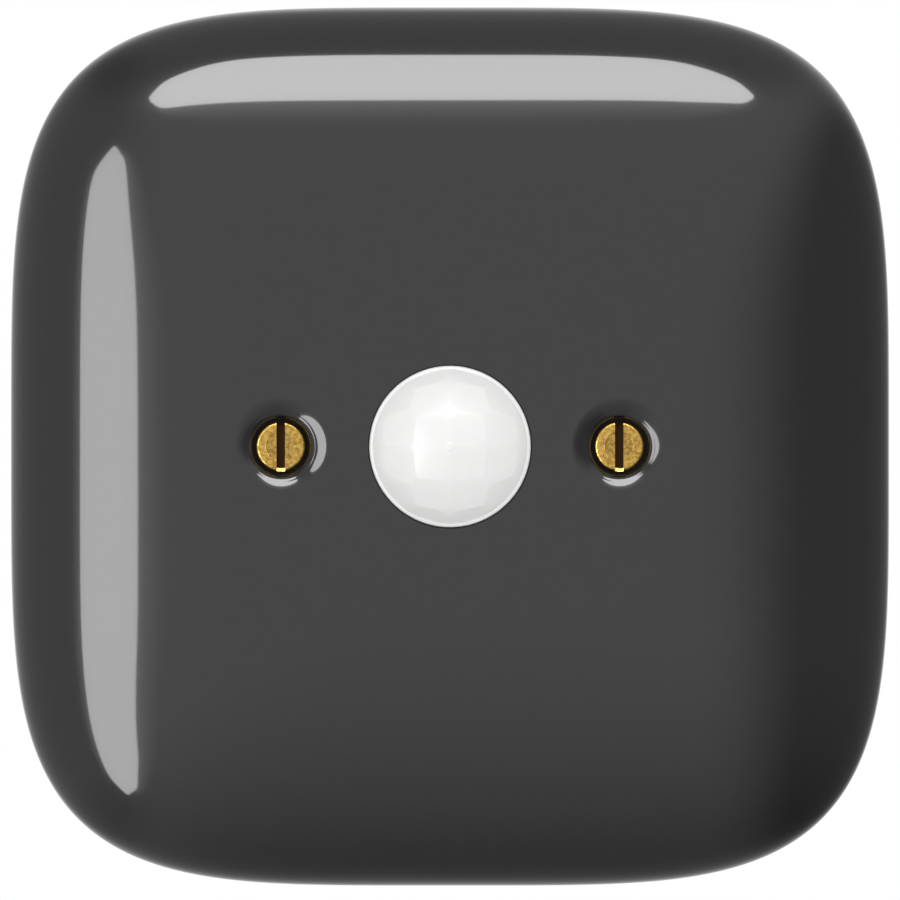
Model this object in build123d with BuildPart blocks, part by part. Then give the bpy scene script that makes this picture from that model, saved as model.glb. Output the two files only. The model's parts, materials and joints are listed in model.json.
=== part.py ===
from build123d import *
import os
from math import cos, pi, radians, sin, sqrt

# A flush-mounted motion sensor light switch. The wall is the plane y = 0, the room lies towards -Y
# and +Z is up. The origin is on the wall, behind the middle of the cover plate. A depth is counted
# from the wall towards the room, so what lies inside the flush box has a negative depth.
# All lengths are in millimetres and all angles in degrees.

# Clearances
board_gap = 0.3
slide_gap = 0.1
running_gap = 0.05
turning_gap = 0.3
cut_overrun = 5.0
full_turn = 360
upright_turn = 90

# Ceramic cover plate: a pillow over a superellipse, hollow at the back
plate_half = 44.0
plate_exponent = 4.19
plate_rim = 2.0
plate_height = 13.0
pillow_exponent = 3.2
plate_side_wall = 5.0
plate_roof = 8.5
plate_foot_radius = 0.6
outline_steps = 40
pillow_angle_shares = (1, 0.9, 0.8, 0.7, 0.6, 0.5, 0.4, 0.3, 0.2, 0.1, 0.03)
lens_hole_gap = 0.25

# Cover screws, turned from brass, with their recesses and washers
cover_screw_offset = 16.9
head_radius = 2.5
head_height = 2.0
head_edge = 0.3
head_below_face = 1.0
head_ring_share = 0.6
head_ring_width = 0.35
head_ring_depth = 0.2
driver_slot_width = 0.85
driver_slot_depth = 0.8
cover_thread_radius = 1.475
cover_screw_end_gap = 0.24
washer_inset = 0.1
washer_thickness = 0.5
recess_gap = 0.35
recess_lip_radius = 2.05
screw_hole_gap = 0.225
cover_boss_wall = 1.15

# Infrared lens: a spherical cap of lenslets on a skirt with a flange
dome_rise = 4.34
dome_base_radius = 7.7
lens_rim_width = 0.35
lens_rim_round = 0.3
lens_wall = 0.7
lens_above_plate = 0.6
lens_flange_width = 1.2
lens_flange_thickness = 0.8
lenslet_radius = 5.0
lenslet_bulge = 0.16
lenslet_cap_angle = 63.9
gate_radius = 0.45
gate_height = 0.15
lenslet_rows = ((10.7, (11.7, 35)), (32, (14.5, 43)), (53.5, (24,)))

# Front carrier: a moulded cup that clamps the lens and snaps into the rear housing
carrier_boss_cover = 0.65
carrier_wall = 1.2
carrier_edge = 0.8
carrier_flange_width = 1.7
carrier_flange_thickness = 1.2
insert_boss_wall = 1.45
boss_floor = 0.5
hook_count = 4
hook_angle = 45
hook_width = 5.0
hook_length = 4.0
hook_barb = 1.1
hook_barb_length = 1.9
post_radius = 1.6
post_wall_gap = 1.24
post_angle = 32.2
stake_radius = 0.8
stake_head_radius = 1.3
stake_head_height = 0.5
hook_window_gap = 0.3

# Threaded inserts for the cover screws
insert_radius = 2.3
insert_length = 5.0
insert_groove_width = 1.0
insert_groove_depth = 0.3

# Front circuit board with the sensor and the light sensor
board_thickness = 1.6
sensor_board_back = 0.4
sensor_stand_radius = 4.0
sensor_stand_height = 2.4
can_radius = 4.1
can_height = 4.4
can_flange_width = 0.45
can_flange_height = 0.5
can_edge = 0.4
window_width = 4.0
window_height = 3.0
window_thickness = 0.5
window_recess = 0.1
lead_radius = 0.23
lead_circle_radius = 2.54
lead_count = 3
lead_arc = 270
lead_length = 5.3
lead_hole_radius = 0.4
tube_inset = 0.25
tube_wall = 1.5
light_sensor_radius = 1.0
light_sensor_height = 4.0
light_sensor_angle = 225
light_sensor_round = 0.8
timer_chip_length = 9.9
amplifier_chip_length = 5.0
chip_width = 3.9
chip_height = 1.5
chip_offset = 7.0
chip_chamfer = 0.3

# Trimmers for the run-on time and the light level
trimmer_angle = 59
trimmer_size = 6.4
trimmer_body_depth = 2.6
trimmer_roof_gap = 0.7
trimmer_chamfer = 0.6
rotor_radius = 2.4
rotor_thickness = 2.0
rotor_stem_radius = 1.2
rotor_stem_length = 1.6
rotor_slot_width = 0.7
rotor_slot_depth = 0.9
rotor_slot_end = 0.6
rotor_notch_radius = 0.4
scale_arc = 260
scale_tick_count = 7
scale_tick_length = 0.9
scale_tick_width = 0.3
scale_tick_height = 0.15
scale_gap = 0.5

# Mounting strap of sheet steel
strap_inset = 8.5
strap_corner = 12.0
strap_thickness = 1.0
strap_opening_gap = 0.2
box_screw_spacing = 60.0
box_slot_width = 3.6
box_slot_length = 6.0
corner_hole_inset = 9.5
corner_hole_radius = 1.6
strap_bead_inset = 4.5
strap_bead_length = 26.0
strap_bead_width = 3.0
strap_bead_height = 0.6
strap_bead_wall = 0.7

# Rear housing: a moulded cup with flats for the claws and the terminals
housing_step = 4.0
housing_wall = 1.6
housing_flat_cut = 4.4
housing_rear_gap = 2.3
housing_corner = 1.5
mouth_thickness = 2.0
housing_rear_edge = 1.0
pillar_radius = 1.6
pillar_relay_gap = 0.9
upper_pillar_z = 12.0
lower_pillar_x = 16.2
lower_pillar_z = 8.0
ear_thickness = 1.4
ear_radius = 1.7

# Rear circuit board and what stands on it
power_board_front = -8.0
relay_length = 20.0
relay_width = 10.4
relay_height = 12.5
relay_x = -3.0
relay_z = 9.3
relay_edge = 0.6
mains_capacitor_width = 6.0
mains_capacitor_length = 13.0
mains_capacitor_height = 12.0
mains_capacitor_gap = 1.6
mains_capacitor_z = 3.3
mains_capacitor_edge = 0.5
smoothing_radius = 4.0
smoothing_height = 11.5
smoothing_x = -8.0
smoothing_z = -3.4
smoothing_crimp_height = 1.8
smoothing_crimp_depth = 0.35
varistor_radius = 3.5
varistor_thickness = 3.6
varistor_x = 1.5
varistor_z = -3.6
varistor_lead_radius = 0.3
varistor_lead_spacing = 5.0
varistor_stand_off = 1.0
rectifier_length = 8.5
rectifier_width = 6.5
rectifier_height = 3.3
rectifier_x = 9.5
rectifier_z = -4.0
fuse_length = 10.1
fuse_width = 3.1
fuse_cap_length = 1.8
fuse_cap_wall = 0.15
fuse_x = -7.0
fuse_z = -5.0
pin_count = 6
pin_pitch = 2.54
pin_width = 0.64
pin_row_drop = 5.0
pin_tail = 1.0
header_height = 2.5
header_width = 2.5
pin_hole_gap = 0.13

# Rising-cage terminals in their block
terminal_pitch = 8.5
terminal_names = ("live", "neutral", "load")
block_end_wall = 1.6
block_top_wall = 5.4
block_roof = 1.5
block_bottom_wall = 5.0
cage_width = 6.2
cage_length = 6.0
cage_side_wall = 1.0
cage_thread_wall = 1.4
cage_clamp_wall = 1.2
cage_open_gap = 2.8
cage_travel = 2.2
access_hole_radius = 1.8
block_rear_lip = 0.6
terminal_head_radius = 2.1
terminal_head_height = 1.2
terminal_thread_radius = 1.45
terminal_slot_width = 0.7
terminal_slot_depth = 0.7
contact_width = 3.6
contact_thickness = 0.8
contact_end_gap = 0.3
contact_capacitor_gap = 2.4
contact_reach = 7.2
contact_pin_tail = 0.6
wire_hole_radius = 1.7

# Spreading claws, one on each side
claw_pivot_stand_off = 1.7
claw_screw_arm = 3.2
claw_pivot_depth = -4.7
claw_pin_radius = 0.8
claw_eye_radius = 1.5
claw_sheet = 1.0
claw_leg_gap = 6.8
claw_web_start = 0.9
claw_web_end = 6.2
claw_leg_length = 13.0
claw_leg_inner = 1.4
claw_tooth_count = 3
claw_tooth_pitch = 1.8
claw_tooth_lean = 0.5
claw_tooth_reach = 5.8
claw_tooth_root = 4.2
claw_flange_length = 2.6
claw_screw_slot_swing = 2.4
claw_screw_slot_width = 3.5
claw_screw_head_radius = 2.6
claw_screw_head_height = 1.8
claw_screw_slot_depth = 0.9
claw_screw_driver_slot = 0.8
claw_thread_radius = 1.45
claw_screw_length = 14.0
claw_nut_radius = 2.4
claw_nut_end_gap = 0.2
claw_nut_rest_gap = 0.15

# Sizes that follow from the lens outwards: ring, carrier, housing, claws and strap
lens_skirt_radius = dome_base_radius + lens_rim_width
lens_hole_radius = lens_skirt_radius + lens_hole_gap
lens_flange_radius = lens_skirt_radius + lens_flange_width
dome_radius = (dome_base_radius**2 + dome_rise**2) / (2 * dome_rise)
tube_outer_radius = lens_flange_radius - tube_inset
tube_inner_radius = tube_outer_radius - tube_wall
can_flange_radius = can_radius + can_flange_width
light_sensor_offset = (can_flange_radius + tube_inner_radius) / 2
recess_radius = head_radius + recess_gap
washer_radius = head_radius - washer_inset
cover_boss_radius = recess_radius + cover_boss_wall
screw_hole_radius = cover_thread_radius + screw_hole_gap
insert_thread_radius = cover_thread_radius + running_gap
insert_boss_radius = insert_radius + insert_boss_wall
carrier_radius = cover_screw_offset + insert_boss_radius + carrier_boss_cover
carrier_inner_radius = carrier_radius - carrier_wall
carrier_flange_radius = carrier_radius + carrier_flange_width
sensor_board_radius = carrier_inner_radius - board_gap
strap_opening_radius = carrier_radius + strap_opening_gap
strap_half = plate_half - strap_inset
corner_hole_offset = strap_half - corner_hole_inset
strap_bead_offset = strap_half - strap_bead_inset
strap_groove_length = strap_bead_length - 2 * strap_bead_wall
strap_groove_width = strap_bead_width - 2 * strap_bead_wall
housing_radius = carrier_radius + housing_step
housing_flat_half = housing_radius - housing_flat_cut
power_board_radius = strap_opening_radius - board_gap
claw_pivot_x = housing_flat_half + claw_pivot_stand_off
claw_screw_x = claw_pivot_x + claw_screw_arm
claw_screw_slot_start = claw_screw_arm - claw_thread_radius - turning_gap
claw_screw_slot_end = claw_screw_arm + claw_screw_slot_swing
claw_slot_middle = (claw_screw_slot_start + claw_screw_slot_end) / 2
claw_nut_length = claw_leg_gap - 2 * claw_nut_end_gap
claw_ear_start = claw_leg_gap / 2 + claw_sheet + 2 * slide_gap
claw_pin_length = 2 * (claw_ear_start + ear_thickness)

# Places on the boards
post_distance = carrier_inner_radius - post_radius - post_wall_gap
post_half_width = post_distance * cos(radians(post_angle))
post_half_height = post_distance * sin(radians(post_angle))
trimmer_distance = (tube_outer_radius + carrier_inner_radius) / 2
trimmer_offset = trimmer_distance * cos(radians(trimmer_angle))
trimmer_height = trimmer_distance * sin(radians(trimmer_angle))
scale_radius = rotor_radius + turning_gap + scale_gap + scale_tick_length / 2
scale_start = upright_turn - scale_arc / 2
upper_pillar_x = relay_length / 2 - relay_x + pillar_relay_gap + pillar_radius
mains_capacitor_x = relay_x + relay_length / 2 + mains_capacitor_gap + mains_capacitor_width / 2
contact_rise_z = smoothing_z - smoothing_radius - contact_capacitor_gap
pin_row_z = contact_rise_z - pin_row_drop
terminal_z = contact_rise_z - contact_reach
block_top = terminal_z + block_top_wall
block_half_width = terminal_pitch + cage_width / 2 + block_end_wall
housing_bottom = block_bottom_wall - terminal_z
pin_hole_width = pin_width + 2 * pin_hole_gap

# Levels, from the front board to the face of the carrier and back to the floor of the housing
sensor_board_front = sensor_board_back + board_thickness
trimmer_front = sensor_board_front + trimmer_body_depth
carrier_front_inside = trimmer_front + trimmer_roof_gap
carrier_front = carrier_front_inside + carrier_wall
insert_bottom = carrier_front - insert_length
lens_flange_front = carrier_front_inside
lens_flange_back = lens_flange_front - lens_flange_thickness
can_base = sensor_board_front + sensor_stand_height
can_top = can_base + can_height
dome_base = plate_height + lens_above_plate
dome_centre = dome_base + dome_rise - dome_radius
power_board_back = power_board_front - board_thickness
smoothing_crimp_middle = power_board_back - smoothing_crimp_height - smoothing_crimp_depth
housing_floor = power_board_back - relay_height - housing_rear_gap
housing_depth = housing_wall - housing_floor

# Levels along a terminal, from its rear access hole to the roof of its pocket
head_chamber_rear = -housing_depth + block_rear_lip
terminal_head_rear = head_chamber_rear + slide_gap
terminal_head_front = terminal_head_rear + terminal_head_height
pocket_rear = terminal_head_front + slide_gap
cage_rear = pocket_rear + slide_gap + cage_travel
contact_rear = cage_rear + cage_thread_wall + 2 * slide_gap
contact_front = contact_rear + contact_thickness
cage_clamp_rear = contact_front + cage_open_gap
cage_front = cage_clamp_rear + cage_clamp_wall
block_front = cage_front + block_roof
wire_depth = contact_front + cage_open_gap / 2

os.makedirs("parts", exist_ok=True)


def level(depth):
    """Plane parallel to the wall at this depth, facing the room, with its y upwards."""
    return Plane.XZ.offset(depth)


def turning_plane(x, z):
    """Plane for a turned profile round the line at x, z: its x is a radius and its y a depth."""
    return Plane(origin=(x, 0, z), x_dir=(1, 0, 0), z_dir=(0, 0, -1))


def turning_axis(x, z):
    """Axis square to the wall at x, z."""
    return Axis((x, 0, z), (0, 1, 0))


def save(piece, name):
    """Label a finished piece and write it to its own file."""
    piece.part.label = name
    export_step(piece.part, f"parts/{name}.step")


def outline_points(half):
    """Points once round the superellipse of this half width."""
    points = []
    for step in range(outline_steps):
        angle = 2 * pi * step / outline_steps
        across = abs(cos(angle)) ** plate_exponent
        upward = abs(sin(angle)) ** plate_exponent
        reach = half / (across + upward) ** (1 / plate_exponent)
        points.append((reach * cos(angle), reach * sin(angle)))
    return points


def pillow_depth(share, rim, top):
    """Depth of a pillow at this share of its half width: an upright edge that rolls into a crown."""
    return rim + (top - rim) * sqrt(1 - share**pillow_exponent)


def pillow_sections(half, rim, top):
    """Half widths and depths of a pillow's cross sections, evenly spread round its rolled edge."""
    sections = []
    for angle_share in pillow_angle_shares:
        share = sin(angle_share * pi / 2) ** (2 / pillow_exponent)
        sections.append((half * share, pillow_depth(share, rim, top)))
    return sections


def post_places():
    """Places of the four posts that carry the front board."""
    return GridLocations(2 * post_half_width, 2 * post_half_height, 2, 2)


def pillar_places():
    """Places of the four pillars that carry the rear board."""
    return Locations(
        (upper_pillar_x, upper_pillar_z),
        (-upper_pillar_x, upper_pillar_z),
        (lower_pillar_x, -lower_pillar_z),
        (-lower_pillar_x, -lower_pillar_z),
    )


def pin_places():
    """Places of the pins that join the two boards."""
    first = -(pin_count - 1) / 2
    return Locations([((first + step) * pin_pitch, pin_row_z) for step in range(pin_count)])


def terminal_places(height):
    """Places of the terminals in a row at this height."""
    first = -(len(terminal_names) - 1) / 2
    return Locations([((first + step) * terminal_pitch, height) for step in range(len(terminal_names))])


def housing_section(inset):
    """Outline of the housing drawn in by this much: a circle with flats at its sides and bottom."""
    with BuildSketch() as section:
        Circle(housing_radius - inset)
        with Locations((0, (housing_radius - housing_bottom) / 2)):
            Rectangle(
                2 * (housing_flat_half - inset),
                housing_radius + housing_bottom - 2 * inset,
                mode=Mode.INTERSECT,
            )
        fillet(section.vertices(), radius=housing_corner)
    return section.sketch


def claw_plane(side):
    """Plane through the pivot of one claw: its x runs outwards and its y into the wall."""
    return Plane(origin=(side * claw_pivot_x, -claw_pivot_depth, 0), x_dir=(side, 0, 0), z_dir=(0, 0, side))


# The face of the plate over a cover screw sets how deep its recess and its head lie
screw_face = pillow_depth(cover_screw_offset / plate_half, plate_rim, plate_height)
head_top = screw_face - head_below_face
head_seat = head_top - head_height
recess_seat = head_seat - washer_thickness
recess_mouth_radius = recess_radius + recess_lip_radius
cover_boss_end = carrier_front + board_gap
cover_screw_tip = insert_bottom + cover_screw_end_gap

# Ceramic cover plate
with BuildPart() as cover_plate:
    with BuildSketch(level(0)):
        with BuildLine():
            Spline(outline_points(plate_half), periodic=True)
        make_face()
    extrude(amount=plate_rim)
    fillet(cover_plate.edges().group_by(Axis.Y)[-1], radius=plate_foot_radius)
    for section_half, section_depth in pillow_sections(plate_half, plate_rim, plate_height):
        with BuildSketch(level(section_depth)):
            with BuildLine():
                Spline(outline_points(section_half), periodic=True)
            make_face()
    loft()
    for section_half, section_depth in pillow_sections(plate_half - plate_side_wall, 0, plate_roof):
        with BuildSketch(level(section_depth)):
            with BuildLine():
                Spline(outline_points(section_half), periodic=True)
            make_face()
    loft(mode=Mode.SUBTRACT)
    with BuildSketch(level(cover_boss_end)):
        with GridLocations(2 * cover_screw_offset, 0, 2, 1):
            Circle(cover_boss_radius)
    extrude(amount=head_top - cover_boss_end)
    with BuildSketch(level(0)):
        Circle(lens_hole_radius)
        with GridLocations(2 * cover_screw_offset, 0, 2, 1):
            Circle(screw_hole_radius)
    extrude(amount=plate_height + cut_overrun, mode=Mode.SUBTRACT)
    for side in (-1, 1):
        with BuildSketch(turning_plane(side * cover_screw_offset, 0)):
            with BuildLine():
                Polyline(
                    (recess_mouth_radius, screw_face),
                    (recess_mouth_radius, screw_face + cut_overrun),
                    (0, screw_face + cut_overrun),
                    (0, recess_seat),
                    (recess_radius, recess_seat),
                    (recess_radius, screw_face - recess_lip_radius),
                )
                RadiusArc(
                    (recess_radius, screw_face - recess_lip_radius),
                    (recess_mouth_radius, screw_face),
                    recess_lip_radius,
                )
            make_face()
        revolve(axis=turning_axis(side * cover_screw_offset, 0), mode=Mode.SUBTRACT)
save(cover_plate, "cover_plate")

# Cover screws: turned head with a ring on its face and an upright slot
for side, side_name in ((-1, "left"), (1, "right")):
    with BuildPart() as cover_screw:
        with BuildSketch(turning_plane(side * cover_screw_offset, 0)):
            with BuildLine():
                Polyline(
                    (0, cover_screw_tip),
                    (cover_thread_radius, cover_screw_tip),
                    (cover_thread_radius, head_seat),
                    (head_radius, head_seat),
                    (head_radius, head_top - head_edge),
                    (head_radius - head_edge, head_top),
                    (head_ring_share * head_radius + head_ring_width, head_top),
                    (head_ring_share * head_radius, head_top - head_ring_depth),
                    (head_ring_share * head_radius - head_ring_width, head_top),
                    (0, head_top),
                    (0, cover_screw_tip),
                )
            make_face()
        revolve(axis=turning_axis(side * cover_screw_offset, 0))
        with BuildSketch(level(head_top)):
            with Locations((side * cover_screw_offset, 0)):
                Rectangle(driver_slot_width, 2 * head_radius + cut_overrun)
        extrude(amount=-driver_slot_depth, mode=Mode.SUBTRACT)
    save(cover_screw, f"cover_screw_{side_name}")

# Washers between the heads and the ceramic
with BuildPart() as cover_screw_washers:
    with BuildSketch(level(recess_seat)):
        with GridLocations(2 * cover_screw_offset, 0, 2, 1):
            Circle(washer_radius)
            Circle(cover_thread_radius + slide_gap, mode=Mode.SUBTRACT)
    extrude(amount=washer_thickness)
save(cover_screw_washers, "cover_screw_washers")

# Lenslets: caps of small spheres in rows of latitude, trimmed to the dome
lenslet_distance = dome_radius + lenslet_bulge - lenslet_radius
lenslet_planes = []
for latitude, longitudes in lenslet_rows:
    for row_side in (-1, 1):
        for longitude in longitudes:
            for column_side in (-1, 1):
                aim_x = column_side * cos(radians(latitude)) * sin(radians(longitude))
                aim_y = -cos(radians(latitude)) * cos(radians(longitude))
                aim_z = row_side * sin(radians(latitude))
                lenslet_centre = (
                    lenslet_distance * aim_x,
                    lenslet_distance * aim_y - dome_centre,
                    lenslet_distance * aim_z,
                )
                lenslet_planes.append(Plane(origin=lenslet_centre, z_dir=(aim_x, aim_y, aim_z)))
with BuildPart() as lenslets:
    with Locations(lenslet_planes):
        Sphere(lenslet_radius, arc_size1=lenslet_cap_angle, align=None)
    with BuildSketch(level(dome_base - lens_wall / 2)):
        Circle(dome_base_radius)
    extrude(amount=dome_radius, mode=Mode.INTERSECT)

# Infrared lens: a turned shell that takes the lenslets and the nub of its moulding gate
inner_skirt_radius = lens_skirt_radius - lens_wall
inner_dome_radius = dome_radius - lens_wall
inner_dome_base = dome_centre + sqrt(inner_dome_radius**2 - inner_skirt_radius**2)
dome_top = dome_centre + dome_radius
with BuildPart() as lens_dome:
    with BuildSketch(turning_plane(0, 0)):
        with BuildLine():
            Polyline(
                (inner_skirt_radius, inner_dome_base),
                (inner_skirt_radius, lens_flange_back),
                (lens_flange_radius, lens_flange_back),
                (lens_flange_radius, lens_flange_front),
                (lens_skirt_radius, lens_flange_front),
                (lens_skirt_radius, dome_base - lens_rim_round),
                (lens_skirt_radius - lens_rim_round, dome_base),
                (dome_base_radius, dome_base),
            )
            RadiusArc((dome_base_radius, dome_base), (0, dome_top), -dome_radius)
            Line((0, dome_top), (0, dome_top - lens_wall))
            RadiusArc(
                (0, dome_top - lens_wall),
                (inner_skirt_radius, inner_dome_base),
                inner_dome_radius,
            )
        make_face()
    revolve(axis=turning_axis(0, 0))
    add(lenslets.part)
    with BuildSketch(level(dome_top - lens_wall / 2)):
        Circle(gate_radius)
    extrude(amount=lens_wall / 2 + gate_height)
save(lens_dome, "lens_dome")

# Front carrier: wall, flange, bosses, board posts and dial scales in front, hooks behind
with BuildPart() as front_carrier:
    with BuildSketch(level(0)):
        Circle(carrier_radius)
    extrude(amount=carrier_front)
    chamfer(front_carrier.faces().sort_by(Axis.Y)[0].edges(), length=carrier_edge)
    with BuildSketch(level(0)):
        Circle(carrier_inner_radius)
    extrude(amount=carrier_front_inside, mode=Mode.SUBTRACT)
    with BuildSketch(level(strap_thickness)):
        Circle(carrier_flange_radius)
        Circle(carrier_inner_radius, mode=Mode.SUBTRACT)
    extrude(amount=carrier_flange_thickness)
    with BuildSketch(level(insert_bottom - boss_floor)):
        with GridLocations(2 * cover_screw_offset, 0, 2, 1):
            Circle(insert_boss_radius)
    extrude(amount=carrier_front_inside - insert_bottom + boss_floor)
    with BuildSketch(level(sensor_board_front)):
        with post_places():
            Circle(post_radius)
    extrude(amount=carrier_front_inside - sensor_board_front)
    with BuildSketch(level(sensor_board_back)):
        with post_places():
            Circle(stake_radius)
    extrude(amount=board_thickness)
    with BuildSketch(level(sensor_board_back - stake_head_height)):
        with post_places():
            Circle(stake_head_radius)
    extrude(amount=stake_head_height)
    with BuildSketch(level(-hook_length)):
        with PolarLocations(carrier_radius - carrier_wall / 2, hook_count, start_angle=hook_angle):
            Rectangle(carrier_wall, hook_width)
    extrude(amount=hook_length + strap_thickness)
    for hook in range(hook_count):
        hook_direction = hook_angle + hook * full_turn / hook_count
        hook_plane = Plane(
            origin=(0, 0, 0),
            x_dir=(cos(radians(hook_direction)), 0, sin(radians(hook_direction))),
            z_dir=(sin(radians(hook_direction)), 0, -cos(radians(hook_direction))),
        )
        with BuildSketch(hook_plane):
            with BuildLine():
                Polyline(
                    (carrier_radius - carrier_wall / 2, -hook_length),
                    (carrier_radius, -hook_length),
                    (carrier_radius + hook_barb, hook_barb_length - hook_length),
                    (carrier_radius - carrier_wall / 2, hook_barb_length - hook_length),
                    close=True,
                )
            make_face()
        extrude(amount=hook_width / 2, both=True)
    with BuildSketch(level(carrier_front_inside - carrier_front)):
        Circle(lens_skirt_radius + board_gap / 2)
        with GridLocations(2 * trimmer_offset, 0, 2, 1):
            with Locations((0, trimmer_height)):
                Circle(rotor_radius + turning_gap)
    extrude(amount=2 * carrier_front, mode=Mode.SUBTRACT)
    with BuildSketch(level(insert_bottom)):
        with GridLocations(2 * cover_screw_offset, 0, 2, 1):
            Circle(insert_radius)
    extrude(amount=insert_length, mode=Mode.SUBTRACT)
    with BuildSketch(level(carrier_front)):
        with GridLocations(2 * trimmer_offset, 0, 2, 1):
            with Locations((0, trimmer_height)):
                with PolarLocations(scale_radius, scale_tick_count, scale_start, scale_arc, endpoint=True):
                    Rectangle(scale_tick_length, scale_tick_width)
    extrude(amount=scale_tick_height)
save(front_carrier, "front_carrier")

# Threaded inserts in the bosses of the carrier
with BuildPart() as threaded_inserts:
    with BuildSketch(level(insert_bottom)):
        with GridLocations(2 * cover_screw_offset, 0, 2, 1):
            Circle(insert_radius)
            Circle(insert_thread_radius, mode=Mode.SUBTRACT)
    extrude(amount=insert_length)
    with BuildSketch(level(insert_bottom + (insert_length - insert_groove_width) / 2)):
        with GridLocations(2 * cover_screw_offset, 0, 2, 1):
            Circle(insert_radius)
            Circle(insert_radius - insert_groove_depth, mode=Mode.SUBTRACT)
    extrude(amount=insert_groove_width, mode=Mode.SUBTRACT)
save(threaded_inserts, "threaded_inserts")

# Front circuit board, notched for the bosses
with BuildPart() as sensor_board:
    with BuildSketch(level(sensor_board_back)):
        Circle(sensor_board_radius)
        with GridLocations(2 * cover_screw_offset, 0, 2, 1):
            Circle(insert_boss_radius + board_gap, mode=Mode.SUBTRACT)
        with GridLocations(2 * sensor_board_radius, 0, 2, 1):
            Rectangle(
                2 * (sensor_board_radius - cover_screw_offset),
                2 * (insert_boss_radius + board_gap),
                mode=Mode.SUBTRACT,
            )
        with post_places():
            Circle(stake_radius + running_gap, mode=Mode.SUBTRACT)
        with PolarLocations(lead_circle_radius, lead_count, angular_range=lead_arc):
            Circle(lead_hole_radius, mode=Mode.SUBTRACT)
        with pin_places():
            Rectangle(pin_hole_width, pin_hole_width, mode=Mode.SUBTRACT)
    extrude(amount=board_thickness)
save(sensor_board, "sensor_board")

# Timer and amplifier chips on the back of the front board
with BuildPart() as sensor_board_chips:
    with BuildSketch(level(sensor_board_back)):
        with Locations((0, chip_offset)):
            Rectangle(timer_chip_length, chip_width)
        with Locations((0, -chip_offset)):
            Rectangle(amplifier_chip_length, chip_width)
    extrude(amount=-chip_height)
    chamfer(sensor_board_chips.faces().sort_by(Axis.Y)[-2:].edges(), length=chip_chamfer)
save(sensor_board_chips, "sensor_board_chips")

# Dark ring that presses the lens flange against the carrier
with BuildPart() as sensor_tube:
    with BuildSketch(level(sensor_board_front)):
        Circle(tube_outer_radius)
        Circle(tube_inner_radius, mode=Mode.SUBTRACT)
    extrude(amount=lens_flange_back - sensor_board_front)
save(sensor_tube, "sensor_tube")

# Spacer under the infrared sensor
with BuildPart() as sensor_stand:
    with BuildSketch(level(sensor_board_front)):
        Circle(sensor_stand_radius)
        with PolarLocations(lead_circle_radius, lead_count, angular_range=lead_arc):
            Circle(lead_hole_radius, mode=Mode.SUBTRACT)
    extrude(amount=sensor_stand_height)
save(sensor_stand, "sensor_stand")

# Infrared sensor in its can, with the opening of its filter window
with BuildPart() as pir_sensor:
    with BuildSketch(level(can_base)):
        Circle(can_flange_radius)
    extrude(amount=can_flange_height)
    with BuildSketch(level(can_base)):
        Circle(can_radius)
    extrude(amount=can_height)
    fillet(pir_sensor.faces().sort_by(Axis.Y)[0].edges(), radius=can_edge)
    with BuildSketch(level(can_top)):
        Rectangle(window_width, window_height)
    extrude(amount=-window_thickness, mode=Mode.SUBTRACT)
save(pir_sensor, "pir_sensor")

with BuildPart() as pir_window:
    with BuildSketch(level(can_top - window_thickness)):
        Rectangle(window_width, window_height)
    extrude(amount=window_thickness - window_recess)
save(pir_window, "pir_window")

with BuildPart() as pir_leads:
    with BuildSketch(level(can_base)):
        with PolarLocations(lead_circle_radius, lead_count, angular_range=lead_arc):
            Circle(lead_radius)
    extrude(amount=-lead_length)
save(pir_leads, "pir_leads")

# Light sensor between the infrared sensor and the ring
with BuildPart() as light_sensor:
    with BuildSketch(level(sensor_board_front)):
        with PolarLocations(light_sensor_offset, 1, start_angle=light_sensor_angle):
            Circle(light_sensor_radius)
    extrude(amount=light_sensor_height)
    fillet(light_sensor.faces().sort_by(Axis.Y)[0].edges(), radius=light_sensor_round)
save(light_sensor, "light_sensor")

# Trimmers: square bodies on the board, and the rotors that a screwdriver turns
with BuildPart() as trimmer_bodies:
    with BuildSketch(level(sensor_board_front)):
        with Locations((-trimmer_offset, trimmer_height), (trimmer_offset, trimmer_height)):
            Rectangle(trimmer_size, trimmer_size)
    extrude(amount=trimmer_body_depth)
    chamfer(trimmer_bodies.edges().filter_by(Axis.Y), length=trimmer_chamfer)
    with BuildSketch(level(trimmer_front)):
        with Locations((-trimmer_offset, trimmer_height), (trimmer_offset, trimmer_height)):
            Circle(rotor_stem_radius + running_gap)
    extrude(amount=-rotor_stem_length - slide_gap, mode=Mode.SUBTRACT)
save(trimmer_bodies, "trimmer_bodies")

for side, dial_name in ((-1, "time_dial"), (1, "light_level_dial")):
    with BuildPart() as dial:
        with BuildSketch(level(trimmer_front - rotor_stem_length)):
            with Locations((side * trimmer_offset, trimmer_height)):
                Circle(rotor_stem_radius)
        extrude(amount=rotor_stem_length + rotor_thickness)
        with BuildSketch(level(trimmer_front + slide_gap)):
            with Locations((side * trimmer_offset, trimmer_height)):
                Circle(rotor_radius)
            with Locations((side * trimmer_offset, trimmer_height + rotor_radius)):
                Circle(rotor_notch_radius, mode=Mode.SUBTRACT)
        extrude(amount=rotor_thickness)
        with BuildSketch(level(trimmer_front + slide_gap + rotor_thickness)):
            with Locations((side * trimmer_offset, trimmer_height)):
                Rectangle(rotor_slot_width, 2 * (rotor_radius - rotor_slot_end))
        extrude(amount=-rotor_slot_depth, mode=Mode.SUBTRACT)
    save(dial, dial_name)

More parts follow.
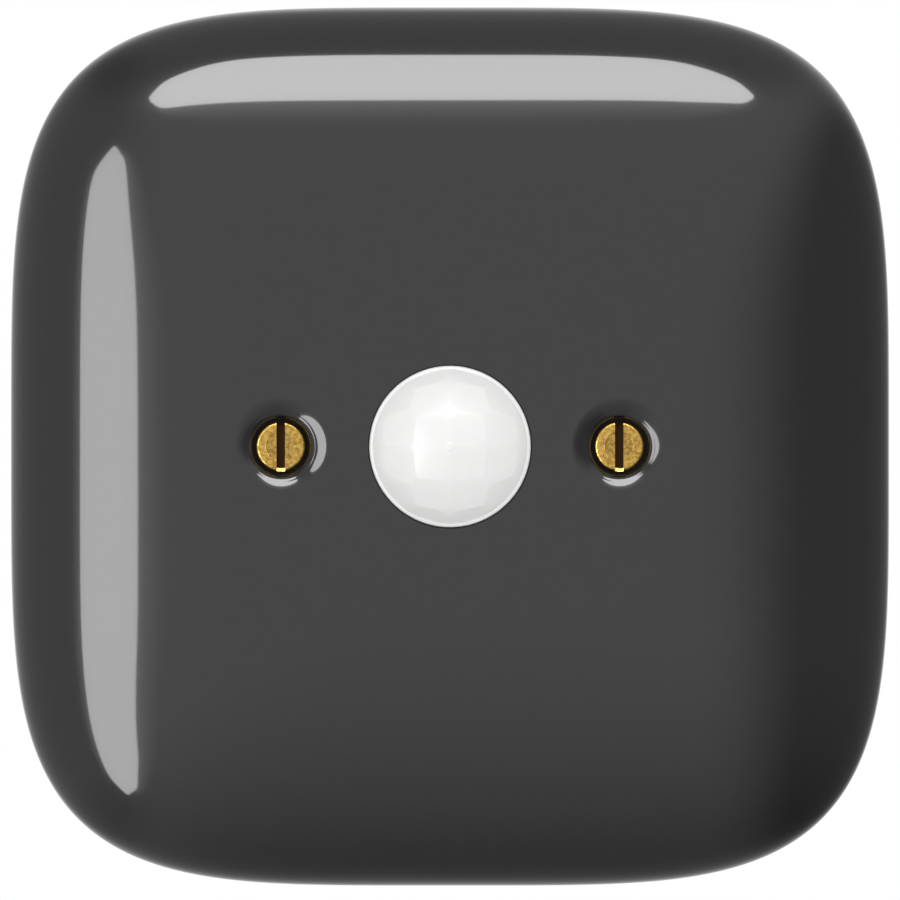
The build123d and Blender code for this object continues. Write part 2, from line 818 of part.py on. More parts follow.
# Mounting strap: slots for the box screws, holes for the claw screws, a stiffening bead at each side
with BuildPart() as mounting_strap:
    with BuildSketch(level(0)):
        RectangleRounded(2 * strap_half, 2 * strap_half, strap_corner)
        Circle(strap_opening_radius, mode=Mode.SUBTRACT)
        with GridLocations(0, box_screw_spacing, 1, 2):
            SlotOverall(box_slot_length, box_slot_width, rotation=upright_turn, mode=Mode.SUBTRACT)
        with GridLocations(2 * claw_screw_x, 0, 2, 1):
            Circle(claw_thread_radius + turning_gap, mode=Mode.SUBTRACT)
        with GridLocations(2 * corner_hole_offset, 2 * corner_hole_offset, 2, 2):
            Circle(corner_hole_radius, mode=Mode.SUBTRACT)
    extrude(amount=strap_thickness)
    with BuildSketch(level(strap_thickness)):
        with GridLocations(2 * strap_bead_offset, 0, 2, 1):
            SlotOverall(strap_bead_length, strap_bead_width, rotation=upright_turn)
    extrude(amount=strap_bead_height)
    with BuildSketch(level(0)):
        with GridLocations(2 * strap_bead_offset, 0, 2, 1):
            SlotOverall(strap_groove_length, strap_groove_width, rotation=upright_turn)
    extrude(amount=strap_bead_height, mode=Mode.SUBTRACT)
save(mounting_strap, "mounting_strap")

# Rear housing: cup with a ledge and windows for the hooks, board pillars, ears for the claws
housing_outline = housing_section(0)
housing_inside = housing_section(housing_wall)
with BuildPart() as rear_housing:
    with BuildSketch(level(0)):
        add(housing_outline)
    extrude(amount=-housing_depth)
    fillet(rear_housing.faces().sort_by(Axis.Y)[-1].edges(), radius=housing_rear_edge)
    with BuildSketch(level(-mouth_thickness)):
        add(housing_inside)
    extrude(amount=housing_floor + mouth_thickness, mode=Mode.SUBTRACT)
    with BuildSketch(level(0)):
        add(housing_inside)
        Circle(strap_opening_radius, mode=Mode.INTERSECT)
    extrude(amount=-mouth_thickness, mode=Mode.SUBTRACT)
    with BuildSketch(level(-mouth_thickness)):
        with PolarLocations(housing_radius, hook_count, hook_angle):
            Rectangle(2 * (housing_wall + hook_window_gap), hook_width + 2 * hook_window_gap)
    extrude(amount=mouth_thickness - hook_length - hook_window_gap, mode=Mode.SUBTRACT)
    with BuildSketch(level(housing_floor)):
        with pillar_places():
            Circle(pillar_radius)
    extrude(amount=power_board_back - housing_floor)
    with BuildSketch(level(power_board_back)):
        with pillar_places():
            Circle(stake_radius)
    extrude(amount=board_thickness)
    with BuildSketch(level(power_board_front)):
        with pillar_places():
            Circle(stake_head_radius)
    extrude(amount=stake_head_height)
    for side in (-1, 1):
        for ear_side in (-1, 1):
            with BuildSketch(claw_plane(side).offset(ear_side * claw_ear_start)):
                Circle(ear_radius)
                with Locations(((housing_flat_half - claw_pivot_x - housing_wall / 2) / 2, 0)):
                    Rectangle(claw_pivot_x - housing_flat_half + housing_wall / 2, 2 * ear_radius)
                Circle(claw_pin_radius, mode=Mode.SUBTRACT)
            extrude(amount=ear_side * ear_thickness)
    with BuildSketch(level(block_front + slide_gap)):
        with Locations((0, (block_top - housing_bottom) / 2)):
            Rectangle(2 * (block_half_width + slide_gap), block_top + housing_bottom + 2 * slide_gap)
    extrude(amount=-housing_depth, mode=Mode.SUBTRACT)
save(rear_housing, "rear_housing")

# Rear circuit board
with BuildPart() as power_board:
    with BuildSketch(level(power_board_back)):
        Circle(power_board_radius)
        add(housing_section(housing_wall + board_gap), mode=Mode.INTERSECT)
        with pillar_places():
            Circle(stake_radius + running_gap, mode=Mode.SUBTRACT)
        with pin_places():
            Rectangle(pin_hole_width, pin_hole_width, mode=Mode.SUBTRACT)
        with terminal_places(contact_rise_z - contact_thickness / 2):
            Rectangle(
                contact_width + 2 * slide_gap, contact_thickness + 2 * slide_gap, mode=Mode.SUBTRACT
            )
    extrude(amount=board_thickness)
save(power_board, "power_board")

# Relay, capacitors and varistor behind the rear board
with BuildPart() as relay:
    with BuildSketch(level(power_board_back)):
        with Locations((relay_x, relay_z)):
            Rectangle(relay_length, relay_width)
    extrude(amount=-relay_height)
    fillet(relay.edges().filter_by(Axis.Y), radius=relay_edge)
save(relay, "relay")

with BuildPart() as mains_capacitor:
    with BuildSketch(level(power_board_back)):
        with Locations((mains_capacitor_x, mains_capacitor_z)):
            RectangleRounded(mains_capacitor_width, mains_capacitor_length, mains_capacitor_edge)
    extrude(amount=-mains_capacitor_height)
save(mains_capacitor, "mains_capacitor")

with BuildPart() as smoothing_capacitor:
    with BuildSketch(turning_plane(smoothing_x, smoothing_z)):
        with BuildLine():
            Polyline(
                (0, power_board_back),
                (smoothing_radius, power_board_back),
                (smoothing_radius, power_board_back - smoothing_crimp_height),
                (smoothing_radius - smoothing_crimp_depth, smoothing_crimp_middle),
                (smoothing_radius, smoothing_crimp_middle - smoothing_crimp_depth),
                (smoothing_radius, power_board_back - smoothing_height),
                (0, power_board_back - smoothing_height),
                close=True,
            )
        make_face()
    revolve(axis=turning_axis(smoothing_x, smoothing_z))
save(smoothing_capacitor, "smoothing_capacitor")

varistor_centre = power_board_back - varistor_stand_off - varistor_radius
with BuildPart() as varistor:
    with BuildSketch(Plane.YZ.offset(varistor_x)):
        with Locations((-varistor_centre, varistor_z)):
            Circle(varistor_radius)
    extrude(amount=varistor_thickness / 2, both=True)
    with BuildSketch(level(power_board_back)):
        with Locations((varistor_x, varistor_z)):
            with GridLocations(0, varistor_lead_spacing, 1, 2):
                Circle(varistor_lead_radius)
    extrude(amount=-varistor_stand_off - varistor_radius)
save(varistor, "varistor")

# Rectifier, fuse and pin strip in front of the rear board
with BuildPart() as rectifier:
    with BuildSketch(level(power_board_front)):
        with Locations((rectifier_x, rectifier_z)):
            Rectangle(rectifier_length, rectifier_width)
    extrude(amount=rectifier_height)
    chamfer(rectifier.faces().sort_by(Axis.Y)[0].edges(), length=chip_chamfer)
save(rectifier, "rectifier")

with BuildPart() as fuse:
    with BuildSketch(level(power_board_front)):
        with Locations((fuse_x, fuse_z)):
            with GridLocations(fuse_length - fuse_cap_length, 0, 2, 1):
                Rectangle(fuse_cap_length, fuse_width)
    extrude(amount=fuse_width)
    with BuildSketch(level(power_board_front + fuse_cap_wall)):
        with Locations((fuse_x, fuse_z)):
            Rectangle(fuse_length - fuse_cap_length, fuse_width - 2 * fuse_cap_wall)
    extrude(amount=fuse_width - 2 * fuse_cap_wall)
save(fuse, "fuse")

with BuildPart() as board_link_header:
    with BuildSketch(level(power_board_front)):
        with Locations((0, pin_row_z)):
            Rectangle(pin_count * pin_pitch, header_width)
        with pin_places():
            Rectangle(pin_hole_width, pin_hole_width, mode=Mode.SUBTRACT)
    extrude(amount=header_height)
save(board_link_header, "board_link_header")

with BuildPart() as board_link_pins:
    with BuildSketch(level(power_board_back - pin_tail)):
        with pin_places():
            Rectangle(pin_width, pin_width)
    extrude(amount=sensor_board_front - power_board_back + 2 * pin_tail)
save(board_link_pins, "board_link_pins")

# Terminal block: three chambers open towards the board, with screw holes behind and wire holes below
block_depth = block_front + housing_depth
block_height = block_top + housing_bottom
with BuildPart() as terminal_block:
    with BuildSketch(level(block_front)):
        with Locations((0, block_top - block_height / 2)):
            Rectangle(2 * block_half_width, block_height)
        add(housing_outline, mode=Mode.INTERSECT)
    extrude(amount=-block_depth)
    fillet(
        terminal_block.edges().filter_by(Axis.X).group_by(Axis.Z)[0].sort_by(Axis.Y)[-1],
        radius=housing_rear_edge,
    )
    with BuildSketch(level(pocket_rear)):
        with terminal_places(terminal_z):
            Rectangle(cage_width + 2 * slide_gap, cage_length + 2 * slide_gap)
    extrude(amount=block_front - pocket_rear, mode=Mode.SUBTRACT)
    with BuildSketch(level(contact_rear - slide_gap)):
        with terminal_places((terminal_z + block_top) / 2):
            Rectangle(contact_width + 2 * slide_gap, block_top - terminal_z)
    extrude(amount=block_front - contact_rear + slide_gap, mode=Mode.SUBTRACT)
    with BuildSketch(level(head_chamber_rear)):
        with terminal_places(terminal_z):
            Circle(terminal_head_radius + turning_gap)
    extrude(amount=pocket_rear - head_chamber_rear, mode=Mode.SUBTRACT)
    with BuildSketch(level(-housing_depth)):
        with terminal_places(terminal_z):
            Circle(access_hole_radius)
    extrude(amount=block_rear_lip, mode=Mode.SUBTRACT)
    with BuildSketch(Plane.XY.offset(-housing_bottom)):
        with GridLocations(terminal_pitch, 0, len(terminal_names), 1):
            with Locations((0, -wire_depth)):
                Circle(wire_hole_radius)
    extrude(amount=housing_bottom + terminal_z, mode=Mode.SUBTRACT)
save(terminal_block, "terminal_block")

# Terminal screws and rising cages, one of each to a terminal
for terminal, terminal_name in enumerate(terminal_names):
    terminal_x = (terminal - (len(terminal_names) - 1) / 2) * terminal_pitch
    with BuildPart() as terminal_screw:
        with BuildSketch(level(terminal_head_rear)):
            with Locations((terminal_x, terminal_z)):
                Circle(terminal_head_radius)
        extrude(amount=terminal_head_height)
        with BuildSketch(level(terminal_head_front)):
            with Locations((terminal_x, terminal_z)):
                Circle(terminal_thread_radius)
        extrude(amount=contact_rear - terminal_head_front - slide_gap)
        with BuildSketch(level(terminal_head_rear)):
            with Locations((terminal_x, terminal_z)):
                Rectangle(terminal_slot_width, 2 * terminal_head_radius + cut_overrun)
        extrude(amount=terminal_slot_depth, mode=Mode.SUBTRACT)
    save(terminal_screw, f"terminal_screw_{terminal_name}")

    with BuildPart() as terminal_cage:
        with BuildSketch(level(cage_rear)):
            with Locations((terminal_x, terminal_z)):
                Rectangle(cage_width, cage_length)
        extrude(amount=cage_front - cage_rear)
        with BuildSketch(level(cage_rear + cage_thread_wall)):
            with Locations((terminal_x, terminal_z)):
                Rectangle(cage_width - 2 * cage_side_wall, 2 * cage_length)
        extrude(amount=cage_clamp_rear - cage_rear - cage_thread_wall, mode=Mode.SUBTRACT)
        with BuildSketch(level(cage_rear)):
            with Locations((terminal_x, terminal_z)):
                Circle(terminal_thread_radius + running_gap)
        extrude(amount=cage_thread_wall, mode=Mode.SUBTRACT)
    save(terminal_cage, f"terminal_cage_{terminal_name}")

# Contact bars: from inside the cages up to the rear board
contact_start = terminal_z - cage_length / 2 + contact_end_gap
with BuildPart() as contact_bars:
    for terminal in range(len(terminal_names)):
        terminal_x = (terminal - (len(terminal_names) - 1) / 2) * terminal_pitch
        with BuildSketch(Plane.YZ.offset(terminal_x)):
            with BuildLine():
                Polyline(
                    (-contact_rear, contact_start),
                    (-contact_rear, contact_rise_z),
                    (-power_board_front - contact_pin_tail, contact_rise_z),
                    (-power_board_front - contact_pin_tail, contact_rise_z - contact_thickness),
                    (-contact_front, contact_rise_z - contact_thickness),
                    (-contact_front, contact_start),
                    close=True,
                )
            make_face()
        extrude(amount=contact_width / 2, both=True)
save(contact_bars, "contact_bars")

# Spreading claws: toothed channel, barrel nut and screw on each side
claw_leg_outer = claw_leg_gap / 2 + claw_sheet
claw_nut_set_back = claw_sheet / 2 + claw_nut_rest_gap + claw_nut_radius
claw_nut_depth = claw_pivot_depth - claw_nut_set_back
claw_screw_seat = strap_thickness + slide_gap
for side, side_name in ((-1, "left"), (1, "right")):
    with BuildPart() as claw:
        for leg_side in (-1, 1):
            with BuildSketch(claw_plane(side).offset(leg_side * claw_leg_gap / 2)):
                with BuildLine():
                    tooth_points = []
                    for tooth in range(claw_tooth_count):
                        tooth_rear = claw_leg_length - tooth * claw_tooth_pitch
                        tooth_points.append((claw_tooth_root, tooth_rear))
                        tooth_points.append((claw_tooth_reach, tooth_rear - claw_tooth_lean))
                    Polyline(
                        (-claw_leg_inner, 0),
                        (-claw_leg_inner, claw_leg_length),
                        *tooth_points,
                        (claw_tooth_root, claw_leg_length - claw_tooth_count * claw_tooth_pitch),
                        (claw_web_end, claw_flange_length),
                        (claw_web_end, -claw_sheet / 2),
                        (0, -claw_sheet / 2),
                        close=True,
                    )
                make_face()
                Circle(claw_eye_radius)
                Circle(claw_pin_radius + running_gap, mode=Mode.SUBTRACT)
            extrude(amount=leg_side * claw_sheet)
        with BuildSketch(claw_plane(side)):
            with Locations(((claw_web_start + claw_web_end) / 2, 0)):
                Rectangle(claw_web_end - claw_web_start, claw_sheet)
        extrude(amount=claw_leg_outer, both=True)
        with BuildSketch(level(claw_pivot_depth)):
            with Locations((side * (claw_pivot_x + claw_slot_middle), 0)):
                SlotOverall(claw_screw_slot_end - claw_screw_slot_start, claw_screw_slot_width)
        extrude(amount=claw_sheet, both=True, mode=Mode.SUBTRACT)
    save(claw, f"claw_{side_name}")

    with BuildPart() as claw_nut:
        with BuildSketch(claw_plane(side)):
            with Locations((claw_screw_arm, claw_nut_set_back)):
                Circle(claw_nut_radius)
        extrude(amount=claw_nut_length / 2, both=True)
        with BuildSketch(level(claw_nut_depth)):
            with Locations((side * claw_screw_x, 0)):
                Circle(claw_thread_radius + running_gap)
        extrude(amount=2 * claw_nut_radius, both=True, mode=Mode.SUBTRACT)
    save(claw_nut, f"claw_nut_{side_name}")

    with BuildPart() as claw_screw:
        with BuildSketch(level(claw_screw_seat)):
            with Locations((side * claw_screw_x, 0)):
                Circle(claw_screw_head_radius)
        extrude(amount=claw_screw_head_height)
        chamfer(claw_screw.faces().sort_by(Axis.Y)[0].edges(), length=head_edge)
        with BuildSketch(level(claw_screw_seat)):
            with Locations((side * claw_screw_x, 0)):
                Circle(claw_thread_radius)
        extrude(amount=-claw_screw_length)
        with BuildSketch(level(claw_screw_seat + claw_screw_head_height)):
            with Locations((side * claw_screw_x, 0)):
                Rectangle(claw_screw_driver_slot, 2 * claw_screw_head_radius + cut_overrun)
        extrude(amount=-claw_screw_slot_depth, mode=Mode.SUBTRACT)
    save(claw_screw, f"claw_screw_{side_name}")

with BuildPart() as claw_pins:
    for side in (-1, 1):
        with BuildSketch(claw_plane(side)):
            Circle(claw_pin_radius)
        extrude(amount=claw_pin_length / 2, both=True)
save(claw_pins, "claw_pins")
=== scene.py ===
# %% [markdown]
# A motion sensor light switch for a flush box. A pillow of charcoal glazed ceramic covers the
# box, a white infrared lens looks out of its middle, and two slotted brass screws hold the plate.
# Behind it sit the carrier, the boards, the terminals and the spreading claws, which come from
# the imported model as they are. This script gives every one of them its finish, and makes the
# plate, the lens and the screws anew, because these are what the eye rests on.

import json

import bmesh
import bpy
import numpy as np
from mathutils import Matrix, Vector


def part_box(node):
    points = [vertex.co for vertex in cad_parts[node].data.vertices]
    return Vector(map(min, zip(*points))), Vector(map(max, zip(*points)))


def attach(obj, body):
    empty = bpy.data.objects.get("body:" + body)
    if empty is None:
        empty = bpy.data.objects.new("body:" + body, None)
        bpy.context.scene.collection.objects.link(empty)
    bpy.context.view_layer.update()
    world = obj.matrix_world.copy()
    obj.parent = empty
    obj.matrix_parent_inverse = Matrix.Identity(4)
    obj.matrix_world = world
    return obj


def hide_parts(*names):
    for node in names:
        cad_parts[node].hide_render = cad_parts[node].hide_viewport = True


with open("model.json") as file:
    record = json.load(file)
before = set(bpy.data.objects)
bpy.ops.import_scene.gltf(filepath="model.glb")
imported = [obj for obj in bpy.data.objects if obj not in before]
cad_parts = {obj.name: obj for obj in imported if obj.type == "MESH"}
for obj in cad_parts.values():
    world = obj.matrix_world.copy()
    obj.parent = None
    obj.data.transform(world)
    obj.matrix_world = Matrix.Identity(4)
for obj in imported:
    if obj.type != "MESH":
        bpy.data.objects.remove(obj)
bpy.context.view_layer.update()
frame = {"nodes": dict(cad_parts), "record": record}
MM = 0.001

# %% [markdown]
# Every new piece is a surface worked out with numpy. A sheet is a grid of points with rows
# and columns. Neighbouring sheets have their common edge at the same points, so a piece can be
# made of several simple sheets: they are joined, points in one place are merged, and the faces
# are turned outwards. Lengths are kept in millimetres until the mesh is made, and a depth is
# counted from the wall towards the room, which is the direction of -Y.

# %% Sheets of points and how they become a piece
MERGE_DISTANCE = 0.002
CREASE_ANGLE = 50


def placed(x, depth, z):
    """Points from width, depth and height: the depth becomes a negative y."""
    x, depth, z = np.broadcast_arrays(x, depth, z)
    return np.stack([x, -depth, z], axis=-1)


def mirrored(sheets, axis):
    """The same sheets and their copies with the sign of one coordinate changed."""
    factor = np.ones(3)
    factor[axis] = -1
    return sheets + [sheet * factor for sheet in sheets]


def welded(name, sheets, node_name, body="switch_body"):
    """One mesh from sheets: four neighbouring points make a face, points in one place merge."""
    points, faces, start = [], [], 0
    for sheet in sheets:
        rows, columns = sheet.shape[:2]
        number = start + np.arange(rows * columns).reshape(rows, columns)
        around = (number[:-1, :-1], number[:-1, 1:], number[1:, 1:], number[1:, :-1])
        faces.append(np.stack(around, axis=-1).reshape(-1, 4))
        points.append(sheet.reshape(-1, 3))
        start += rows * columns
    mesh = bpy.data.meshes.new(name)
    mesh.from_pydata((np.concatenate(points) * MM).tolist(), [], np.concatenate(faces).tolist())
    shell = bmesh.new()
    shell.from_mesh(mesh)
    bmesh.ops.remove_doubles(shell, verts=shell.verts, dist=MERGE_DISTANCE * MM)
    bmesh.ops.recalc_face_normals(shell, faces=shell.faces)
    shell.to_mesh(mesh)
    open_edges = sum(len(edge.link_faces) != 2 for edge in shell.edges)
    shell.free()
    mesh.polygons.foreach_set("use_smooth", np.ones(len(mesh.polygons), dtype=bool))
    mesh.set_sharp_from_angle(angle=np.radians(CREASE_ANGLE))
    piece = bpy.data.objects.new(name, mesh)
    bpy.context.collection.objects.link(piece)
    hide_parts(node_name)
    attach(piece, body)
    triangles = sum(len(face.vertices) - 2 for face in mesh.polygons)
    print(name, "triangles", triangles, "open edges", open_edges)
    return piece


# %% [markdown]
# The cover plate is pressed ceramic under a thick satin glaze. Its outline is a superellipse,
# a square whose sides never run quite straight, and its face is a pillow over that outline. A
# plane with subdivision could be pulled into that shape by hand. Here the formula is used, so
# that the long highlights bend over the shoulder exactly as they do on the real glaze.

# %% Outline and pillow of the plate
PLATE_HALF = 44.0
PLATE_EXPONENT = 4.19
PLATE_RIM = 2.0
PLATE_HEIGHT = 13.0
PILLOW_EXPONENT = 3.2
CAVITY_HALF = 39.0
CAVITY_ROOF = 8.5
SCREW_OFFSET = 16.9
OUTLINE_STEPS = 4001


def outline_share(x, z, half):
    """How far out a point lies, 1 on the outline: the n-th root of |x/a|^n + |z/a|^n."""
    return (np.abs(x / half) ** PLATE_EXPONENT + np.abs(z / half) ** PLATE_EXPONENT) ** (1 / PLATE_EXPONENT)


def pillow_depth(x, z, half, rim, top):
    """Depth of a pillow: from the rim up to the top by the root of 1 - share^m."""
    share = np.minimum(outline_share(x, z, half), 1)
    return rim + (top - rim) * np.sqrt(1 - share**PILLOW_EXPONENT)


def outline_half(half, shares):
    """Upper half of the outline, left to right, at shares of its own length."""
    angle = np.linspace(np.pi, 0, OUTLINE_STEPS)
    reach = half / outline_share(np.cos(angle), np.sin(angle), 1)
    x, z = reach * np.cos(angle), reach * np.sin(angle)
    length = np.concatenate([[0], np.cumsum(np.hypot(np.diff(x), np.diff(z)))])
    at = shares * length[-1]
    return np.stack([np.interp(at, length, x), np.interp(at, length, z)], axis=-1)


over_screw = pillow_depth(SCREW_OFFSET, 0, PLATE_HALF, PLATE_RIM, PLATE_HEIGHT)
print("face over a screw", round(float(over_screw), 3))

# %% [markdown]
# The plate has three holes in a row: the lens in the middle, a screw recess on each side. A grid
# with holes needs no boolean when its first row runs along the holes. The path below follows the
# upper half of the left recess, crosses to the lens, goes over it and over the right recess. Each
# column leaves the path squarely, and bends over to its own point on the outline. The lower half
# of the plate is the mirror image.

# %% Path over the holes and the columns that leave it
RECESS_COLUMNS = 120
BRIDGE_COLUMNS = 10
LENS_COLUMNS = 72
BRIDGE_MIDDLE = 10.2
NORMAL_WINDOW = 21
LENS_SHARE = 12.0 / 79.0
BRIDGE_NARROWING = 0.8
LEAVE_REACH, LEAVE_SHARE = 9.0, 1.1
ARRIVE_REACH = 18.0


def half_circle(centre_x, radius, columns):
    """Upper half of a circle, left to right."""
    angle = np.linspace(np.pi, 0, columns + 1)[:, None]
    return np.concatenate([centre_x + radius * np.cos(angle), radius * np.sin(angle)], axis=1)


def hole_path(screw_radius, lens_radius):
    """Path over recess, bridge, lens, bridge and recess, with its smoothed normals."""
    bridge = np.linspace(-SCREW_OFFSET + screw_radius, -lens_radius, BRIDGE_COLUMNS + 1)[1:-1]
    bridge = np.stack([bridge, np.zeros_like(bridge)], axis=-1)
    left = half_circle(-SCREW_OFFSET, screw_radius, RECESS_COLUMNS)
    middle = half_circle(0, lens_radius, LENS_COLUMNS)
    right = half_circle(SCREW_OFFSET, screw_radius, RECESS_COLUMNS)
    path = np.concatenate([left, bridge, middle, -bridge[::-1], right])
    upwards = np.broadcast_to([0.0, 1.0], bridge.shape)
    normal = [left - [-SCREW_OFFSET, 0], upwards, middle, upwards, right - [SCREW_OFFSET, 0]]
    normal = np.concatenate([part / np.linalg.norm(part, axis=1, keepdims=True) for part in normal])
    window = np.hanning(NORMAL_WINDOW + 2)[1:-1]
    padded = np.pad(normal, ((NORMAL_WINDOW // 2,) * 2, (0, 0)), mode="edge")
    normal = np.stack([np.convolve(padded[:, i], window / window.sum(), "valid") for i in (0, 1)], axis=-1)
    normal[0], normal[-1] = (-1, 0), (1, 0)
    return path, normal


def outline_columns(half):
    """Where each column ends: crowded over the lens, wide round the corners."""
    half_share = 0.5 * LENS_SHARE
    recess = np.linspace(0, 0.5 - half_share, RECESS_COLUMNS + 1)
    bridge = np.linspace(recess[-1], 0.5 - BRIDGE_NARROWING * half_share, BRIDGE_COLUMNS + 1)[1:]
    lens = np.linspace(bridge[-1], 1 - bridge[-1], LENS_COLUMNS + 1)[1:]
    left = np.concatenate([recess, bridge])
    shares = np.concatenate([left, lens, (1 - left[::-1])[1:]])
    return outline_half(half, shares)


def spread(path, normal, outline, rows):
    """Sheet from path to outline: each column is a cubic that leaves and arrives squarely.

    With t from 0 to 1 it is (1 - t)^2*(1 + 2*t)*path + t^2*(3 - 2*t)*outline, bent by
    t*(1 - t)^2 along the normal of the path and by t^2*(1 - t) along that of the outline.
    """
    t = np.sin(np.linspace(0, np.pi / 2, rows))[:, None, None]
    arrival = np.gradient(outline, axis=0)[:, ::-1] * [-1, 1]
    arrival = arrival / np.linalg.norm(arrival, axis=1, keepdims=True)
    arrival[0], arrival[-1] = (-1, 0), (1, 0)
    clearance = np.hypot(np.abs(path[:, :1]) - BRIDGE_MIDDLE, path[:, 1:])
    leave = np.minimum(LEAVE_REACH, LEAVE_SHARE * clearance) * t * (1 - t) ** 2 * normal
    arrive = -ARRIVE_REACH * t**2 * (1 - t) * arrival
    return (1 - t) ** 2 * (1 + 2 * t) * path + leave + t**2 * (3 - 2 * t) * outline + arrive


print("columns", len(outline_columns(PLATE_HALF)))

# %% [markdown]
# Glaze runs soft over every edge. The recess of a screw opens like a shallow dish, dips a little
# at a step and turns over a tighter round into its upright wall. The hole of the lens has a tight
# round alone. Both follow the pillow: the lip is taken off the height of the face at that very
# place. The dish catches the bright arcs on the right of and below each screw, the step the thin
# second arc inside them. A lip is a row of arcs, each with its radius, first tilt, last tilt in
# degrees and number of rows.

# %% Shape the cover plate
DISH_LIP = (
    (2.6, 0, 14, 7),
    (6.0, 14, 22, 8),
    (1.0, 22, 30, 4),
    (0.6, 30, 18, 4),
    (0.847, 18, 90, 10),
)
LENS_LIP = ((0.12, 0, 90, 6),)
RECESS_RADIUS = 2.85
RECESS_SEAT = 9.24
SCREW_HOLE_RADIUS = 1.7
BOSS_RADIUS = 4.0
BOSS_END = 6.8
LENS_HOLE_RADIUS = 8.12
FACE_ROWS, ROOF_ROWS = 72, 24


def face_depth(x, z):
    """Depth of the glazed face."""
    return pillow_depth(x, z, PLATE_HALF, PLATE_RIM, PLATE_HEIGHT)


def roof_depth(x, z):
    """Depth of the hollow behind the face."""
    return pillow_depth(x, z, CAVITY_HALF, 0, CAVITY_ROOF)


def lip_profile(arcs):
    """Way in and drop along arcs given as radius, first tilt, last tilt and rows.

    Between the tilts a and b an arc of radius R goes R*|sin b - sin a| inwards and drops by
    R*|cos a - cos b|.
    """
    way, drop = [np.zeros(1)], [np.zeros(1)]
    for radius, first, last, rows in arcs:
        tilt = np.radians(np.linspace(first, last, rows))
        way.append(way[-1][-1] + radius * np.abs(np.sin(tilt) - np.sin(tilt[0]))[1:])
        drop.append(drop[-1][-1] + radius * np.abs(np.cos(tilt[0]) - np.cos(tilt))[1:])
    return np.concatenate(way), np.concatenate(drop)


def lip(centre_x, hole_radius, profile, columns):
    """Lip round the upper half of a hole, its drop taken off the glazed face."""
    way, drop = profile
    radius = (hole_radius + way[-1] - way)[:, None]
    turn = np.linspace(np.pi, 0, columns + 1)[None, :]
    x, z = centre_x + radius * np.cos(turn), radius * np.sin(turn)
    return placed(x, face_depth(x, z) - drop[:, None], z)


def well(centre_x, radii, depths, columns):
    """Turned half wall through pairs of radius and depth, which may change along the columns."""
    turn = np.linspace(np.pi, 0, columns + 1)
    x = np.stack([centre_x + radius * np.cos(turn) for radius in radii])
    z = np.stack([radius * np.sin(turn) for radius in radii])
    depth = [d(x[i], z[i]) if callable(d) else np.full_like(turn, d) for i, d in enumerate(depths)]
    return placed(x, np.stack(depth), z)


def below_lip(profile):
    """Depth of the lower edge of a lip, as a function of place."""
    return lambda x, z: face_depth(x, z) - profile[1][-1]


recess_lip, lens_lip = lip_profile(DISH_LIP), lip_profile(LENS_LIP)
path, normal = hole_path(RECESS_RADIUS + recess_lip[0][-1], LENS_HOLE_RADIUS + lens_lip[0][-1])
face = spread(path, normal, outline_columns(PLATE_HALF), FACE_ROWS)
plate_sheets = [placed(face[..., 0], face_depth(face[..., 0], face[..., 1]), face[..., 1])]
roof_path, roof_normal = hole_path(BOSS_RADIUS, LENS_HOLE_RADIUS)
roof = spread(roof_path, roof_normal, outline_columns(CAVITY_HALF), ROOF_ROWS)
plate_sheets.append(placed(roof[..., 0], roof_depth(roof[..., 0], roof[..., 1]), roof[..., 1]))
plate_sheets.append(lip(0, LENS_HOLE_RADIUS, lens_lip, LENS_COLUMNS))
lens_depths = (below_lip(lens_lip), roof_depth)
plate_sheets.append(well(0, (LENS_HOLE_RADIUS,) * 2, lens_depths, LENS_COLUMNS))
well_radii = (RECESS_RADIUS,) * 2 + (SCREW_HOLE_RADIUS,) * 2 + (BOSS_RADIUS,) * 2
well_depths = (below_lip(recess_lip), RECESS_SEAT, RECESS_SEAT, BOSS_END, BOSS_END, roof_depth)
for side in (-SCREW_OFFSET, SCREW_OFFSET):
    plate_sheets.append(lip(side, RECESS_RADIUS, recess_lip, RECESS_COLUMNS))
    plate_sheets.append(well(side, well_radii, well_depths, RECESS_COLUMNS))
print("drop of the lips", round(recess_lip[1][-1], 3), round(lens_lip[1][-1], 3))

# %% [markdown]
# The pillow meets the wall in a short upright rim and a rounded foot. Its rows are outlines, a
# little smaller where the foot rounds under, and the last one is the edge of the hollow. A column
# of the face ends on a chord between two points of the outline, a little inside it, where the
# pillow is up to a hundredth of a millimetre higher than the rim. The hollow does the same at the
# foot. Where that is more than the merge distance the seam stays open, too narrow to be seen, and
# the printed number of open edges counts it.

# %% Rim and foot of the plate
FOOT_RADIUS = 0.6
FOOT_ROWS = 7
EDGE_SUPPORT = 0.1
foot_angle = np.linspace(0, np.pi / 2, FOOT_ROWS)
foot_halves = PLATE_HALF - FOOT_RADIUS * (1 - np.cos(foot_angle))
flat_halves = [foot_halves[-1] - EDGE_SUPPORT, CAVITY_HALF + EDGE_SUPPORT, CAVITY_HALF]
rim_halves = np.concatenate([[PLATE_HALF], foot_halves, flat_halves])
rim_depths = np.concatenate([[PLATE_RIM], FOOT_RADIUS * (1 - np.sin(foot_angle)), [0, 0, 0]])
rim = np.stack([outline_columns(half) for half in rim_halves])
plate_sheets.append(placed(rim[..., 0], rim_depths[:, None], rim[..., 1]))
plate_piece = welded("ceramic_plate", mirrored(plate_sheets, 2), "cover_plate")

# %% [markdown]
# The lens is moulded in milky polyethylene. Its cap is a sphere covered with lenslets, nearly flat
# cells that throw the heat of a room on to the sensor. Twenty of them could be cut with booleans,
# but the seams between them would be knife-sharp. In a moulding they are soft, so the height at
# each direction is a smooth minimum over the dome and all lenslets.

